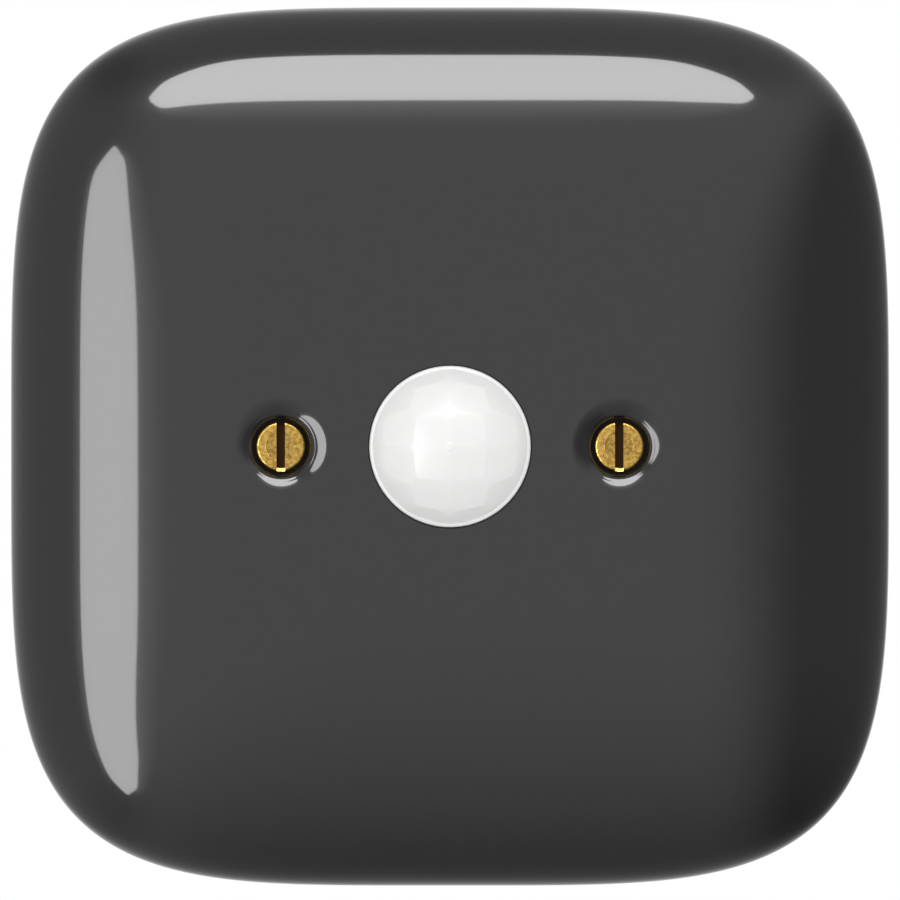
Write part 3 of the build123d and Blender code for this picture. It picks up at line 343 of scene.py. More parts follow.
# %% Where the lenslets look
DOME_RADIUS = 9.0007
DOME_CENTRE = 8.9389
DOME_BASE_RADIUS = 7.7
DOME_SWELL = 0.08
LENSLET_RADIUS = 20.0
LENSLET_SAG = 0.135
LENSLET_ROWS = ((10.7, (11.7, 35)), (32, (14.5, 43)), (53.5, (24,)))
SEAM_SHARPNESS = 120.0

aims = np.radians([(row, column) for row, columns in LENSLET_ROWS for column in columns])
latitude, longitude = aims[:, 0], aims[:, 1]
quarter = np.stack(
    [np.cos(latitude) * np.sin(longitude), np.cos(latitude) * np.cos(longitude), np.sin(latitude)], axis=-1
)
lenslet_aims = np.concatenate([quarter * [a, 1, b] for a in (-1, 1) for b in (-1, 1)])
print("lenslets", len(lenslet_aims))

# %% Height of the lenslets over the dome
def lenslet_reach(aim):
    """Distance from the centre of the dome to its surface along unit vectors.

    A ray leaves the centre. It meets a lenslet, a large sphere of radius r whose centre lies at
    distance c along its aim (c is negative), at c*k + sqrt(r^2 - c^2*(1 - k^2)), where k is the
    cosine between ray and aim. The logarithm of a sum of exponentials picks the lowest of all, and
    rounds the seams.
    """
    swollen = DOME_RADIUS + DOME_SWELL
    centre = swollen - LENSLET_SAG - LENSLET_RADIUS
    cosine = aim @ lenslet_aims.T
    reach = centre * cosine + np.sqrt(LENSLET_RADIUS**2 - centre**2 * (1 - cosine**2))
    reach = np.concatenate([np.full(aim.shape[:-1] + (1,), swollen), reach], axis=-1)
    lowest = reach.min(axis=-1, keepdims=True)
    rounded = np.log(np.exp(SEAM_SHARPNESS * (lowest - reach)).sum(axis=-1)) / SEAM_SHARPNESS
    return lowest[..., 0] - rounded


GATE_RADIUS = 0.45
GATE_HEIGHT = 0.07
GATE_FLANK = 0.12
DOME_FADE = 1.5
DOME_ROWS, DOME_COLUMNS = 130, 321
base_angle = np.arcsin(DOME_BASE_RADIUS / DOME_RADIUS)
tilt = np.linspace(0, base_angle, DOME_ROWS)[:, None]
turn = np.linspace(0, 2 * np.pi, DOME_COLUMNS)[None, :]
upright = np.cos(tilt) + 0 * turn
aim = np.stack([np.sin(tilt) * np.cos(turn), upright, np.sin(tilt) * np.sin(turn)], axis=-1)
fade = np.clip((base_angle - tilt) / np.radians(DOME_FADE), 0, 1)
reach = DOME_RADIUS + (lenslet_reach(aim) - DOME_RADIUS) * fade
gate = np.clip((GATE_RADIUS - DOME_RADIUS * np.sin(tilt)) / GATE_FLANK, 0, 1)
reach = reach + GATE_HEIGHT * gate**2 * (3 - 2 * gate)
dome = reach[..., None] * aim
print("dome between", round(float(reach.min()), 3), "and", round(float(reach.max()), 3))

# %% [markdown]
# Below the dome the lens is plain turned work: a rounded rim, a skirt and a flange that the
# carrier clamps, then back up along the inside at an even wall.

# %% Turn the rest of the lens and close it
LENS_WALL = 0.7
RIM_ROUND = 0.35
SKIRT_RADIUS = 8.05
FLANGE_RADIUS = 9.25
FLANGE_FRONT, FLANGE_BACK = 5.3, 4.5
DOME_BASE = 13.6
RIM_ROWS, SKIRT_ROWS, INNER_ROWS = 9, 14, 30
rim_angle = np.linspace(0, np.pi / 2, RIM_ROWS)
rim_radius = SKIRT_RADIUS - RIM_ROUND * (1 - np.sin(rim_angle))
rim_depth = DOME_BASE - RIM_ROUND * (1 - np.cos(rim_angle))
inner_radius = SKIRT_RADIUS - LENS_WALL
inner_dome = DOME_RADIUS - LENS_WALL
inner_tilt = np.linspace(np.arcsin(inner_radius / inner_dome), 0, INNER_ROWS)
skirt_radius = np.full(SKIRT_ROWS, SKIRT_RADIUS)
skirt_depth = np.linspace(DOME_BASE - RIM_ROUND, FLANGE_FRONT, SKIRT_ROWS)
flange_radius = [FLANGE_RADIUS, FLANGE_RADIUS, inner_radius]
flange_depth = [FLANGE_FRONT, FLANGE_BACK, FLANGE_BACK]
lathe_radius = [[DOME_BASE_RADIUS], rim_radius, skirt_radius, flange_radius, inner_dome * np.sin(inner_tilt)]
inner_depth = DOME_CENTRE + inner_dome * np.cos(inner_tilt)
lathe_depth = [[DOME_BASE], rim_depth, skirt_depth, flange_depth, inner_depth]
lathe_radius, lathe_depth = (np.concatenate(rows)[:, None] for rows in (lathe_radius, lathe_depth))
lens_sheets = [
    placed(dome[..., 0], DOME_CENTRE + dome[..., 1], dome[..., 2]),
    placed(lathe_radius * np.cos(turn), lathe_depth, lathe_radius * np.sin(turn)),
]
lens_piece = welded("lens", lens_sheets, "lens_dome")

# %% [markdown]
# The two brass screws are turned: a slightly crowned face with a fine ring, a rolled edge, an
# upright slot sawn across and a rolled thread. Cutting the slot with a boolean would leave long
# thin faces that spoil the shading, so each half of the face is a fan of arcs cut off by the slot.
# The columns of the arcs run on down the side of the head and along the thread to the tip. The
# steel screws of the claws are made by the same functions.

# %% Slotted screws from arcs
THREAD_COLUMNS = 24
SLOT_COLUMNS = 4
HEAD_EDGE = 0.3
HEAD_CROWN = 0.08
EDGE_ROWS, INNER_FACE_ROWS, OUTER_FACE_ROWS = 8, 7, 6
INNER_DROP = 0.06
RING_MARGIN, EDGE_MARGIN = 0.08, 0.04
RING_STEPS, RING_DROPS = (-0.03, 0.0, 0.03), (0.05, 0.0, 0.01)
THREAD_PITCH = 0.5
THREAD_DEPTH = 0.55
ROWS_PER_PITCH = 8
TIP_SHARE = 0.55
SLOT_RUNOUT = 0.4


def head_profile(radius, slot_half, ring):
    """Radius and drop of a head face: crowned, with a fine ring and a rolled edge.

    The crown drops by c*(r/R)^2. The rolled edge is a quarter round of radius e: r = R - e*(1 - sin t),
    drop = e*(1 - cos t).
    """
    roll = np.linspace(0, np.pi / 2, EDGE_ROWS)
    inner = np.linspace(slot_half, ring - RING_MARGIN, INNER_FACE_ROWS)
    outer = np.linspace(ring + RING_MARGIN, radius - HEAD_EDGE - EDGE_MARGIN, OUTER_FACE_ROWS)
    rolled = radius - HEAD_EDGE * (1 - np.sin(roll))
    radii = np.concatenate([inner, ring + np.array(RING_STEPS), outer, rolled])
    inner_drops, outer_drops = np.full(INNER_FACE_ROWS, INNER_DROP), np.zeros(OUTER_FACE_ROWS)
    drops = np.concatenate([inner_drops, RING_DROPS, outer_drops, HEAD_EDGE * (1 - np.cos(roll))])
    return radii, drops + HEAD_CROWN * (radii / radius) ** 2


def screw_thread(angle, crest, start, tip):
    """Turned shank whose radius falls from the crest by a triangle wave along a helix.

    The wave is |2*f - 1|, f being the fraction of depth/pitch - angle/turn, which makes the thread
    right-handed, and it fades at both ends, so that the last rows are plain circles.
    """
    depth = np.linspace(start, tip, 1 + int(ROWS_PER_PITCH * abs(start - tip) / THREAD_PITCH))[:, None]
    part = np.mod(depth / THREAD_PITCH - angle / (2 * np.pi), 1)
    fade = np.clip(np.minimum(start - depth, depth - tip) / THREAD_PITCH, 0, 1)
    radius = crest - THREAD_DEPTH * THREAD_PITCH * fade * np.abs(2 * part - 1)
    return radius, depth


def slotted_screw(across, head, slot, shank):
    """Sheets of one screw: face halves, slot, side, underside, thread and tip.

    The head is given by its radius, ring, top and seat, the slot by half its width, the depth of
    its floor and the rise of the floor at both ends, and the shank by its crest and tip.
    """
    radius, ring, top, seat = head
    slot_half, slot_floor, rise = slot
    crest, tip = shank
    radii, drops = head_profile(radius, slot_half, ring)
    share = np.linspace(-1, 1, 2 * THREAD_COLUMNS + 1)[None, :]
    angle = share * np.arccos(slot_half / radii)[:, None]
    face_half = placed(radii[:, None] * np.cos(angle), top - drops[:, None], radii[:, None] * np.sin(angle))
    chord = np.concatenate([face_half[::-1, 0], face_half[1:, -1]])
    floor = slot_floor + rise * np.clip((np.abs(chord[:, 2]) - radius) / SLOT_RUNOUT + 1, 0, 1)
    wall = np.stack([chord, chord])
    wall[1, :, 1] = -floor
    halves = mirrored([face_half, wall], 0)
    cross = np.linspace(-1, 1, SLOT_COLUMNS + 1)[:, None] * np.arcsin(slot_half / radius)
    stretch = np.cos(cross) / np.cos(cross[0])
    halves.append(placed(radius * np.sin(cross), floor[None, :], chord[None, :, 2] * stretch))
    arc = angle[-1]
    end_arc = np.pi / 2 - cross[::-1, 0]
    around = [arc, end_arc, arc + np.pi, end_arc + np.pi]
    ends = (top - drops[-1], floor[-1])
    sides = []
    for number, turn in enumerate(around):
        rows = [ends[1]] if number % 2 else list(ends)
        rim = np.array(rows + [seat])[:, None]
        sides.append(placed(radius * np.cos(turn), rim, radius * np.sin(turn)))
        reach, depth = screw_thread(turn, crest, seat, tip)
        underside = np.full((1, len(turn)), radius)
        reach = np.concatenate([underside, reach, TIP_SHARE * reach[-1:], 0 * reach[-1:]])
        depth = np.concatenate([depth[:1], depth, depth[-1:], depth[-1:]])
        sides.append(placed(reach * np.cos(turn), depth, reach * np.sin(turn)))
    return [sheet + [across, 0, 0] for sheet in halves + sides]


# %% Turn the two brass screws
HEAD_TOP = 11.74
HEAD_SEAT = 9.74
HEAD_RADIUS = 2.5
HEAD_RING = 1.48
SLOT_HALF, SLOT_FLOOR, SLOT_RISE = 0.425, 10.94, 0.2
SCREW_TIP = 1.74
THREAD_CREST = 1.475
cover_head = (HEAD_RADIUS, HEAD_RING, HEAD_TOP, HEAD_SEAT)
cover_slot = (SLOT_HALF, SLOT_FLOOR, SLOT_RISE)
brass_pieces = []
for side_name, side in (("left", -SCREW_OFFSET), ("right", SCREW_OFFSET)):
    sheets = slotted_screw(side, cover_head, cover_slot, (THREAD_CREST, SCREW_TIP))
    brass_pieces.append(welded("brass_screw_" + side_name, sheets, "cover_screw_" + side_name))

# %% Turn the two claw screws
CLAW_SCREW_OFFSET = float(np.mean([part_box("claw_screw_right")[i][0] for i in (0, 1)])) / MM
CLAW_HEAD_TOP = 2.9
CLAW_HEAD_SEAT = 1.1
CLAW_HEAD_RADIUS = 2.6
CLAW_HEAD_RING = 1.5
CLAW_SCREW_TIP = -12.9
CLAW_THREAD_CREST = 1.45
CLAW_SLOT_HALF, CLAW_SLOT_FLOOR = 0.4, 2.0
claw_head = (CLAW_HEAD_RADIUS, CLAW_HEAD_RING, CLAW_HEAD_TOP, CLAW_HEAD_SEAT)
claw_slot = (CLAW_SLOT_HALF, CLAW_SLOT_FLOOR, 0.0)
steel_pieces = []
for side_name, side in (("left", -CLAW_SCREW_OFFSET), ("right", CLAW_SCREW_OFFSET)):
    sheets = slotted_screw(side, claw_head, claw_slot, (CLAW_THREAD_CREST, CLAW_SCREW_TIP))
    claw_screw = "claw_screw_" + side_name
    steel_pieces.append(welded("steel_screw_" + side_name, sheets, claw_screw, body=claw_screw))
print("claw screws at", round(CLAW_SCREW_OFFSET, 3))

# %% [markdown]
# Three finishes change over one piece. The foot of the plate and the wells of its screws are bare
# clay, because a piece stands on its foot in the kiln and the glaze is wiped out of the holes. A
# brass head has a darker patina inside its ring, and its slot and the side of the head are painted
# nearly black as shade, with some patina in it; the slot of a claw screw is painted dark as shade
# too. An attribute on the points holds each mask, worked out from the place of every point.

# %% Masks on the points
HAIR = 0.01
FLOOR_BAND = 0.1
FACE_DROP = 0.25
INNER_PATINA = 0.25
MIRRORING_END_LENGTH = 0.45


def marked(piece, name, mask):
    """Float attribute from a function of width, depth and height in millimetres."""
    place = np.empty(3 * len(piece.data.vertices))
    piece.data.vertices.foreach_get("co", place)
    x, y, z = place.reshape(-1, 3).T / MM
    values = mask(x, -y, z).astype(float)
    piece.data.attributes.new(name, "FLOAT", "POINT").data.foreach_set("value", values)
    print(piece.name, name, "mean", round(float(values.mean()), 3))


def from_screw(x, z):
    """Distance from the axis of the nearer cover screw."""
    return np.hypot(np.abs(x) - SCREW_OFFSET, z)


def bare_clay(x, depth, z):
    """1 on the flat foot and on the upright wall and seat of the screw wells."""
    in_well = (from_screw(x, z) < RECESS_RADIUS + HAIR) & (depth > BOSS_END + HAIR)
    return (depth < MERGE_DISTANCE / 2) | in_well


def patina_and_painted_shade(x, depth, z):
    """1 in the slot and down the side of the head, painted shade with some patina, and 0.25 on the
    face inside the ring, a patina.

    The painted shade leaves out the raised lower end of the slot floor, which mirrors the top
    soft box.
    """
    in_slot = np.abs(np.abs(x) - SCREW_OFFSET) < SLOT_HALF + HAIR / 2
    # The painted shade stops at the lower end of the slot, whose raised floor mirrors the top soft box.
    mirroring_end = (z < MIRRORING_END_LENGTH - HEAD_RADIUS) & (depth > SLOT_FLOOR + HAIR) & in_slot
    on_head = depth > HEAD_SEAT
    # Painted shade, with some patina: dark in the slot and down the side of the head.
    dark = (depth < HEAD_TOP - FACE_DROP) & on_head & ~mirroring_end
    return np.where(dark, 1.0, INNER_PATINA * (from_screw(x, z) < HEAD_RING - 2 * HAIR) * on_head)


def claw_slot_painted_shade(x, depth, z):
    """1 on the floor and lower wall of the slot of a claw screw: painted shade."""
    in_slot = np.abs(np.abs(x) - CLAW_SCREW_OFFSET) < CLAW_SLOT_HALF + HAIR
    # Painted shade in the slot of a claw screw.
    return in_slot & (depth > CLAW_SLOT_FLOOR - FLOOR_BAND) & (depth < CLAW_HEAD_TOP - FACE_DROP)


marked(plate_piece, "bare", bare_clay)
# Painted shade with some patina on the brass screws, painted shade alone in the slots of the steel ones.
for screw in brass_pieces:
    marked(screw, "patina_and_painted_shade", patina_and_painted_shade)
for screw in steel_pieces:
    marked(screw, "patina_and_painted_shade", claw_slot_painted_shade)

# %% [markdown]
# Shared effects are node groups, built once and placed in each finish with its own values. Mottle
# is the slow unevenness that every real surface has: it comes out as a mask between 0 and 1.
# Grain is the fine roughness of a moulding or a casting, and comes out as a height for a bump.

# %% Groups for mottle and grain
COARSE_SCALE = 0.35


def node(tree, kind, **values):
    """New node of this kind with its settings, sockets being given by their names."""
    made = tree.nodes.new(kind)
    for key, value in values.items():
        if key in made.inputs:
            made.inputs[key].default_value = value
        else:
            setattr(made, key, value)
    return made


def new_group(name, inputs, output):
    """Empty group with a vector and number inputs and one number output."""
    tree = bpy.data.node_groups.new(name, "ShaderNodeTree")
    tree.interface.new_socket(name="Vector", in_out="INPUT", socket_type="NodeSocketVector")
    for label, value in inputs.items():
        socket = tree.interface.new_socket(name=label, in_out="INPUT", socket_type="NodeSocketFloat")
        socket.default_value = value
    tree.interface.new_socket(name=output, in_out="OUTPUT", socket_type="NodeSocketFloat")
    return tree, tree.nodes.new("NodeGroupInput"), tree.nodes.new("NodeGroupOutput")


mottle, given, result = new_group("Mottle", {"Scale": 400.0, "Contrast": 1.0}, "Mask")
cloud = node(mottle, "ShaderNodeTexNoise", Detail=6.0, Roughness=0.6)
centred = node(mottle, "ShaderNodeMath", operation="SUBTRACT")
centred.inputs[1].default_value = 0.5
stretched = node(mottle, "ShaderNodeMath", operation="MULTIPLY")
lifted = node(mottle, "ShaderNodeMath", operation="ADD", use_clamp=True)
lifted.inputs[1].default_value = 0.5
mottle.links.new(given.outputs["Vector"], cloud.inputs["Vector"])
mottle.links.new(given.outputs["Scale"], cloud.inputs["Scale"])
mottle.links.new(cloud.outputs["Fac"], centred.inputs[0])
mottle.links.new(centred.outputs[0], stretched.inputs[0])
mottle.links.new(given.outputs["Contrast"], stretched.inputs[1])
mottle.links.new(stretched.outputs[0], lifted.inputs[0])
mottle.links.new(lifted.outputs[0], result.inputs["Mask"])

grain, given, result = new_group("Grain", {"Scale": 6000.0, "Coarse Share": 0.4}, "Height")
fine = node(grain, "ShaderNodeTexNoise", Detail=2.0)
coarse = node(grain, "ShaderNodeTexVoronoi")
coarse_scale = node(grain, "ShaderNodeMath", operation="MULTIPLY")
coarse_scale.inputs[1].default_value = COARSE_SCALE
blend = node(grain, "ShaderNodeMix", data_type="FLOAT")
grain.links.new(given.outputs["Vector"], fine.inputs["Vector"])
grain.links.new(given.outputs["Vector"], coarse.inputs["Vector"])
grain.links.new(given.outputs["Scale"], fine.inputs["Scale"])
grain.links.new(given.outputs["Scale"], coarse_scale.inputs[0])
grain.links.new(coarse_scale.outputs[0], coarse.inputs["Scale"])
grain.links.new(given.outputs["Coarse Share"], blend.inputs["Factor"])
grain.links.new(fine.outputs["Fac"], blend.inputs["A"])
grain.links.new(coarse.outputs["Distance"], blend.inputs["B"])
grain.links.new(blend.outputs["Result"], result.inputs["Height"])
print("groups", [tree.name for tree in bpy.data.node_groups])

# %% [markdown]
# A finish starts from a colour, a second colour for its mottle, a roughness, the scales of mottle
# and grain, and the depth of the grain in millimetres. The mottle also moves the roughness up and
# down by some play. The shader itself stays in the material, where the constants sit on its own
# sockets.

# %% A finish with mottle and grain
PLAIN_CONTRAST = 2.2
PLAIN_PLAY = 0.05


def finish(name, colour, second, roughness, scale, grain_scale, grain_depth,
           play=PLAIN_PLAY, contrast=PLAIN_CONTRAST, **shader):
    """Material: mottle mixes two colours and moves the roughness, grain makes the bump."""
    material = bpy.data.materials.new(name)
    material.use_nodes = True
    tree = material.node_tree
    principled = tree.nodes["Principled BSDF"]
    where = node(tree, "ShaderNodeTexCoord")
    mask = node(tree, "ShaderNodeGroup", node_tree=mottle)
    mask.inputs["Scale"].default_value = scale
    mask.inputs["Contrast"].default_value = contrast
    mix = node(tree, "ShaderNodeMix", data_type="RGBA")
    mix.inputs["A"].default_value = (*colour, 1)
    mix.inputs["B"].default_value = (*second, 1)
    rough = node(tree, "ShaderNodeMapRange")
    rough.inputs["To Min"].default_value = roughness - play
    rough.inputs["To Max"].default_value = roughness + play
    pits = node(tree, "ShaderNodeGroup", node_tree=grain)
    pits.inputs["Scale"].default_value = grain_scale
    bump = node(tree, "ShaderNodeBump")
    bump.inputs["Distance"].default_value = grain_depth * MM
    for key, value in shader.items():
        principled.inputs[key.replace("_", " ")].default_value = value
    tree.links.new(where.outputs["Object"], mask.inputs["Vector"])
    tree.links.new(where.outputs["Object"], pits.inputs["Vector"])
    tree.links.new(mask.outputs["Mask"], mix.inputs["Factor"])
    tree.links.new(mask.outputs["Mask"], rough.inputs["Value"])
    tree.links.new(pits.outputs["Height"], bump.inputs["Height"])
    tree.links.new(mix.outputs["Result"], principled.inputs["Base Color"])
    tree.links.new(rough.outputs["Result"], principled.inputs["Roughness"])
    tree.links.new(bump.outputs["Normal"], principled.inputs["Normal"])
    return material


# %% Finishes of the switch
MOULDINGS = {
    "nylon": ("natural_nylon", (0.75, 0.73, 0.66), (0.70, 0.67, 0.59), 0.50, 700, 7000, 0.004),
    "carrier_plastic": ("light_grey_moulding", (0.62, 0.62, 0.60), (0.57, 0.57, 0.55), 0.50, 300, 9000, 0.008),
    "housing_plastic": ("grey_moulding", (0.50, 0.50, 0.49), (0.45, 0.45, 0.44), 0.52, 260, 8000, 0.010),
    "block_plastic": ("mid_grey_moulding", (0.30, 0.31, 0.32), (0.26, 0.27, 0.28), 0.50, 300, 9000, 0.008),
    "board_laminate": ("green_laminate", (0.02, 0.11, 0.05), (0.015, 0.085, 0.04), 0.35, 600, 4000, 0.006),
    "chip_plastic": ("black_moulding", (0.02, 0.02, 0.022), (0.03, 0.03, 0.032), 0.55, 500, 12000, 0.006),
    "trimmer_plastic": ("blue_moulding", (0.03, 0.10, 0.35), (0.025, 0.08, 0.28), 0.42, 500, 9000, 0.005),
    "dial_plastic": ("ivory_moulding", (0.80, 0.79, 0.72), (0.74, 0.72, 0.63), 0.42, 500, 9000, 0.004),
    "relay_plastic": ("black_case", (0.04, 0.04, 0.045), (0.05, 0.05, 0.055), 0.45, 350, 9000, 0.006),
    "capacitor_plastic": ("yellow_box", (0.50, 0.42, 0.05), (0.44, 0.35, 0.04), 0.40, 350, 9000, 0.005),
    "capacitor_can": ("dark_sleeve", (0.08, 0.09, 0.12), (0.06, 0.07, 0.10), 0.35, 350, 9000, 0.004),
    "varistor_coat": ("blue_coating", (0.02, 0.08, 0.30), (0.015, 0.06, 0.24), 0.25, 500, 2500, 0.020),
    "fuse_ceramic": ("bare_ceramic", (0.70, 0.68, 0.62), (0.62, 0.60, 0.54), 0.70, 700, 9000, 0.010),
}
finishes = {slot: finish(*values) for slot, values in MOULDINGS.items()}
finishes["glaze"] = finish(
    "charcoal_glaze", (0.011, 0.011, 0.011), (0.009, 0.009, 0.009), 0.16, 900, 5000, 0.003, play=0.03,
    Specular_IOR_Level=0.14, Coat_Weight=1.0, Coat_Roughness=0.045, Coat_IOR=1.6,
)
finishes["brass"] = finish(
    "turned_brass", (0.70, 0.45, 0.11), (0.36, 0.21, 0.05), 0.32, 3200, 9000, 0.006, play=0.08,
    contrast=6.0, Metallic=1.0,
)
finishes["lens_plastic"] = finish(
    "milky_polyethylene", (0.95, 0.945, 0.935), (0.93, 0.925, 0.915), 0.30, 500, 8000, 0.002, play=0.03,
    Subsurface_Weight=0.2, Subsurface_Radius=(1.0, 0.95, 0.9), Subsurface_Scale=0.002,
)
finishes["plated_steel"] = finish(
    "zinc_plated_steel", (0.56, 0.56, 0.55), (0.48, 0.49, 0.50), 0.32, 600, 7000, 0.004, play=0.08,
    Metallic=1.0,
)
finishes["clear_plastic"] = finish(
    "clear_moulding", (0.70, 0.72, 0.75), (0.66, 0.68, 0.72), 0.12, 500, 9000, 0.001, play=0.03
)
finishes["filter_glass"] = finish(
    "dark_filter", (0.10, 0.09, 0.10), (0.08, 0.07, 0.08), 0.08, 500, 9000, 0.001, play=0.02
)
print("finishes", len(finishes))

# %% [markdown]
# The masks go into their finishes as mixes: bare clay is lighter, rough and without the clear coat
# of the glaze, and the dark mask of the screws is a dark tone with a rougher surface, brown on
# brass, where it is painted shade with some patina, and grey on steel, where it is painted shade
# alone.

# %% Bare clay, and painted shade with patina
CLAY_COLOUR, CLAY_ROUGHNESS = (0.10, 0.095, 0.09), 0.8
# Brown tone on brass: painted shade in the slot and down the head, with some patina.
BRASS_PATINA_AND_SHADE = (0.035, 0.018, 0.008)
# Grey tone on steel: painted shade in the slot.
STEEL_PAINTED_SHADE = (0.04, 0.04, 0.038)
PATINA_AND_SHADE_ROUGHNESS = 0.5


def blended(material, attribute, colour, roughness):
    """Mix this colour and roughness into a finish where the attribute is 1."""
    tree = material.node_tree
    principled = tree.nodes["Principled BSDF"]
    mask = node(tree, "ShaderNodeAttribute", attribute_name=attribute)
    for label, kind, value in (("Base Color", "RGBA", (*colour, 1)), ("Roughness", "FLOAT", roughness)):
        mix = node(tree, "ShaderNodeMix", data_type=kind)
        mix.inputs["B"].default_value = value
        tree.links.new(mask.outputs["Fac"], mix.inputs["Factor"])
        tree.links.new(principled.inputs[label].links[0].from_socket, mix.inputs["A"])
        tree.links.new(mix.outputs["Result"], principled.inputs[label])
    return tree, principled, mask


tree, principled, mask = blended(finishes["glaze"], "bare", CLAY_COLOUR, CLAY_ROUGHNESS)
glazed = node(tree, "ShaderNodeMath", operation="SUBTRACT")
glazed.inputs[0].default_value = 1.0
tree.links.new(mask.outputs["Fac"], glazed.inputs[1])
tree.links.new(glazed.outputs[0], principled.inputs["Coat Weight"])
# Painted shade, with some patina, on the brass screws.
blended(finishes["brass"], "patina_and_painted_shade", BRASS_PATINA_AND_SHADE, PATINA_AND_SHADE_ROUGHNESS)
# Painted shade in the slots of the claw screws.
blended(finishes["plated_steel"], "patina_and_painted_shade", STEEL_PAINTED_SHADE, PATINA_AND_SHADE_ROUGHNESS)

# %% Put the finishes on
for row in frame["record"]["subparts"]:
    part = frame["nodes"][row["node"]]
    for place in part.material_slots:
        place.material = finishes[row["material_slot"]]
new_pieces = [(plate_piece, "glaze"), (lens_piece, "lens_plastic")]
new_pieces += [(screw, "brass") for screw in brass_pieces]
new_pieces += [(screw, "plated_steel") for screw in steel_pieces]
for piece, slot_name in new_pieces:
    piece.data.materials.append(finishes[slot_name])
print("pieces made anew", [piece.name for piece, slot_name in new_pieces])

# %% [markdown]
# The light is that of a small product studio: a tall soft box on the left and a wide one above,
# whose mirror images are the two long highlights on the shoulder of the plate. Their outlines
# were found by reflecting the edges of the highlights at the pillow. An area lamp can only be a
# rectangle or an ellipse, so each soft box is a glowing sheet with rounded ends. A faint border
# fades out on both sides, as the cloth around a real lamp does, and lets the room show through.

# %% Soft boxes
LAMP_DISTANCE = 1.0
BORDER_GLOW = 0.10
OUTLINE_POINTS = 41
WEIGHTS = np.array([1, 2, 3, 2, 1]) / 9
LEFT_STRENGTH, TOP_STRENGTH = 5.6, 7.6
LEFT_BORDERS, TOP_BORDERS = (0.3, 0.25), (0.08, 0.2)


def smooth_outline(corners):
    """Many points along a few corners, smoothed by a weighted mean, which rounds the ends."""
    edge, along = np.linspace(0, 1, OUTLINE_POINTS), np.linspace(0, 1, len(corners))
    values = [np.interp(edge, along, column) for column in np.array(corners).T]
    padded = [np.pad(column, len(WEIGHTS) // 2, mode="edge") for column in values]
    return np.stack([np.convolve(column, WEIGHTS, "valid") for column in padded], axis=-1)


def glow_material(name, strength):
    """Emission times the attribute of the glow, added to what lies behind the sheet."""
    material = bpy.data.materials.new(name)
    material.use_nodes = True
    tree = material.node_tree
    tree.nodes.clear()
    share = node(tree, "ShaderNodeAttribute", attribute_name="glow")
    full = node(tree, "ShaderNodeMath", operation="MULTIPLY")
    full.inputs[1].default_value = strength
    emission = node(tree, "ShaderNodeEmission")
    behind = node(tree, "ShaderNodeBsdfTransparent")
    together = node(tree, "ShaderNodeAddShader")
    output = node(tree, "ShaderNodeOutputMaterial")
    tree.links.new(share.outputs["Fac"], full.inputs[0])
    tree.links.new(full.outputs[0], emission.inputs["Strength"])
    tree.links.new(emission.outputs[0], together.inputs[0])
    tree.links.new(behind.outputs[0], together.inputs[1])
    tree.links.new(together.outputs[0], output.inputs["Surface"])
    return material


def soft_box(name, outer, inner, borders, strength):
    """Glowing sheet between two outlines of points (x, z), with a border beyond each of them.

    The width of a border is given as a share of the width of the sheet.
    """
    outer, inner = smooth_outline(outer), smooth_outline(inner)
    width = outer - inner
    rows = [outer + borders[0] * width, outer, outer, inner, inner, inner - borders[1] * width]
    glow = [0, BORDER_GLOW, 1, 1, BORDER_GLOW, 0]
    sheet = np.stack(rows) * LAMP_DISTANCE
    points = placed(sheet[..., 0], LAMP_DISTANCE, sheet[..., 1]).reshape(-1, 3)
    number = np.arange(len(points)).reshape(len(rows), -1)
    faces = np.stack([number[::2, :-1], number[::2, 1:], number[1::2, 1:], number[1::2, :-1]], axis=-1)
    mesh = bpy.data.meshes.new(name)
    mesh.from_pydata(points.tolist(), [], faces.reshape(-1, 4).tolist())
    share = np.repeat(np.array(glow, dtype=float), OUTLINE_POINTS)
    mesh.attributes.new("glow", "FLOAT", "POINT").data.foreach_set("value", share)
    mesh.materials.append(glow_material(name + "_glow", strength))
    lamp = bpy.data.objects.new(name, mesh)
    bpy.context.collection.objects.link(lamp)
    lamp.visible_camera = False
    lamp.visible_diffuse = False


left_outer = [
    (-0.784, 0.5684), (-1.0094, 0.441), (-1.0682, 0.0),
    (-1.0584, -0.588), (-1.029, -0.931), (-0.882, -1.127),
]
left_inner = [
    (-0.772, 0.5597), (-0.6369, 0.43425), (-0.51145, 0.0),
    (-0.579, -0.579), (-0.6948, -0.91675), (-0.8685, -1.10975),
]
top_outer = [
    (-0.6262, 0.9595), (-0.5858, 1.2423), (-0.303, 1.616), (0.0, 1.6766),
    (0.303, 1.616), (0.606, 1.2423), (0.6666, 1.01),
]
top_inner = [
    (-0.5983, 0.91675), (-0.4825, 0.772), (-0.24125, 0.76235), (0.0, 0.76235),
    (0.2895, 0.78165), (0.53075, 0.8492), (0.6369, 0.965),
]
soft_box("left_soft_box", left_outer, left_inner, LEFT_BORDERS, LEFT_STRENGTH)
soft_box("top_soft_box", top_outer, top_inner, TOP_BORDERS, TOP_STRENGTH)

# %% [markdown]
# The glaze is nearly black. Most of the grey that it shows is the room before it, mirrored at
# five per cent, so the room has to be as the plate shows it: bright in front and on the left and
# above, dark to the right and below, where a reflection in the shoulder reads almost black. The
# camera sees plain white all round, and so does glaze or metal that looks straight backwards. Soft
# light that falls on matt surfaces comes from a room that is filled up more evenly.

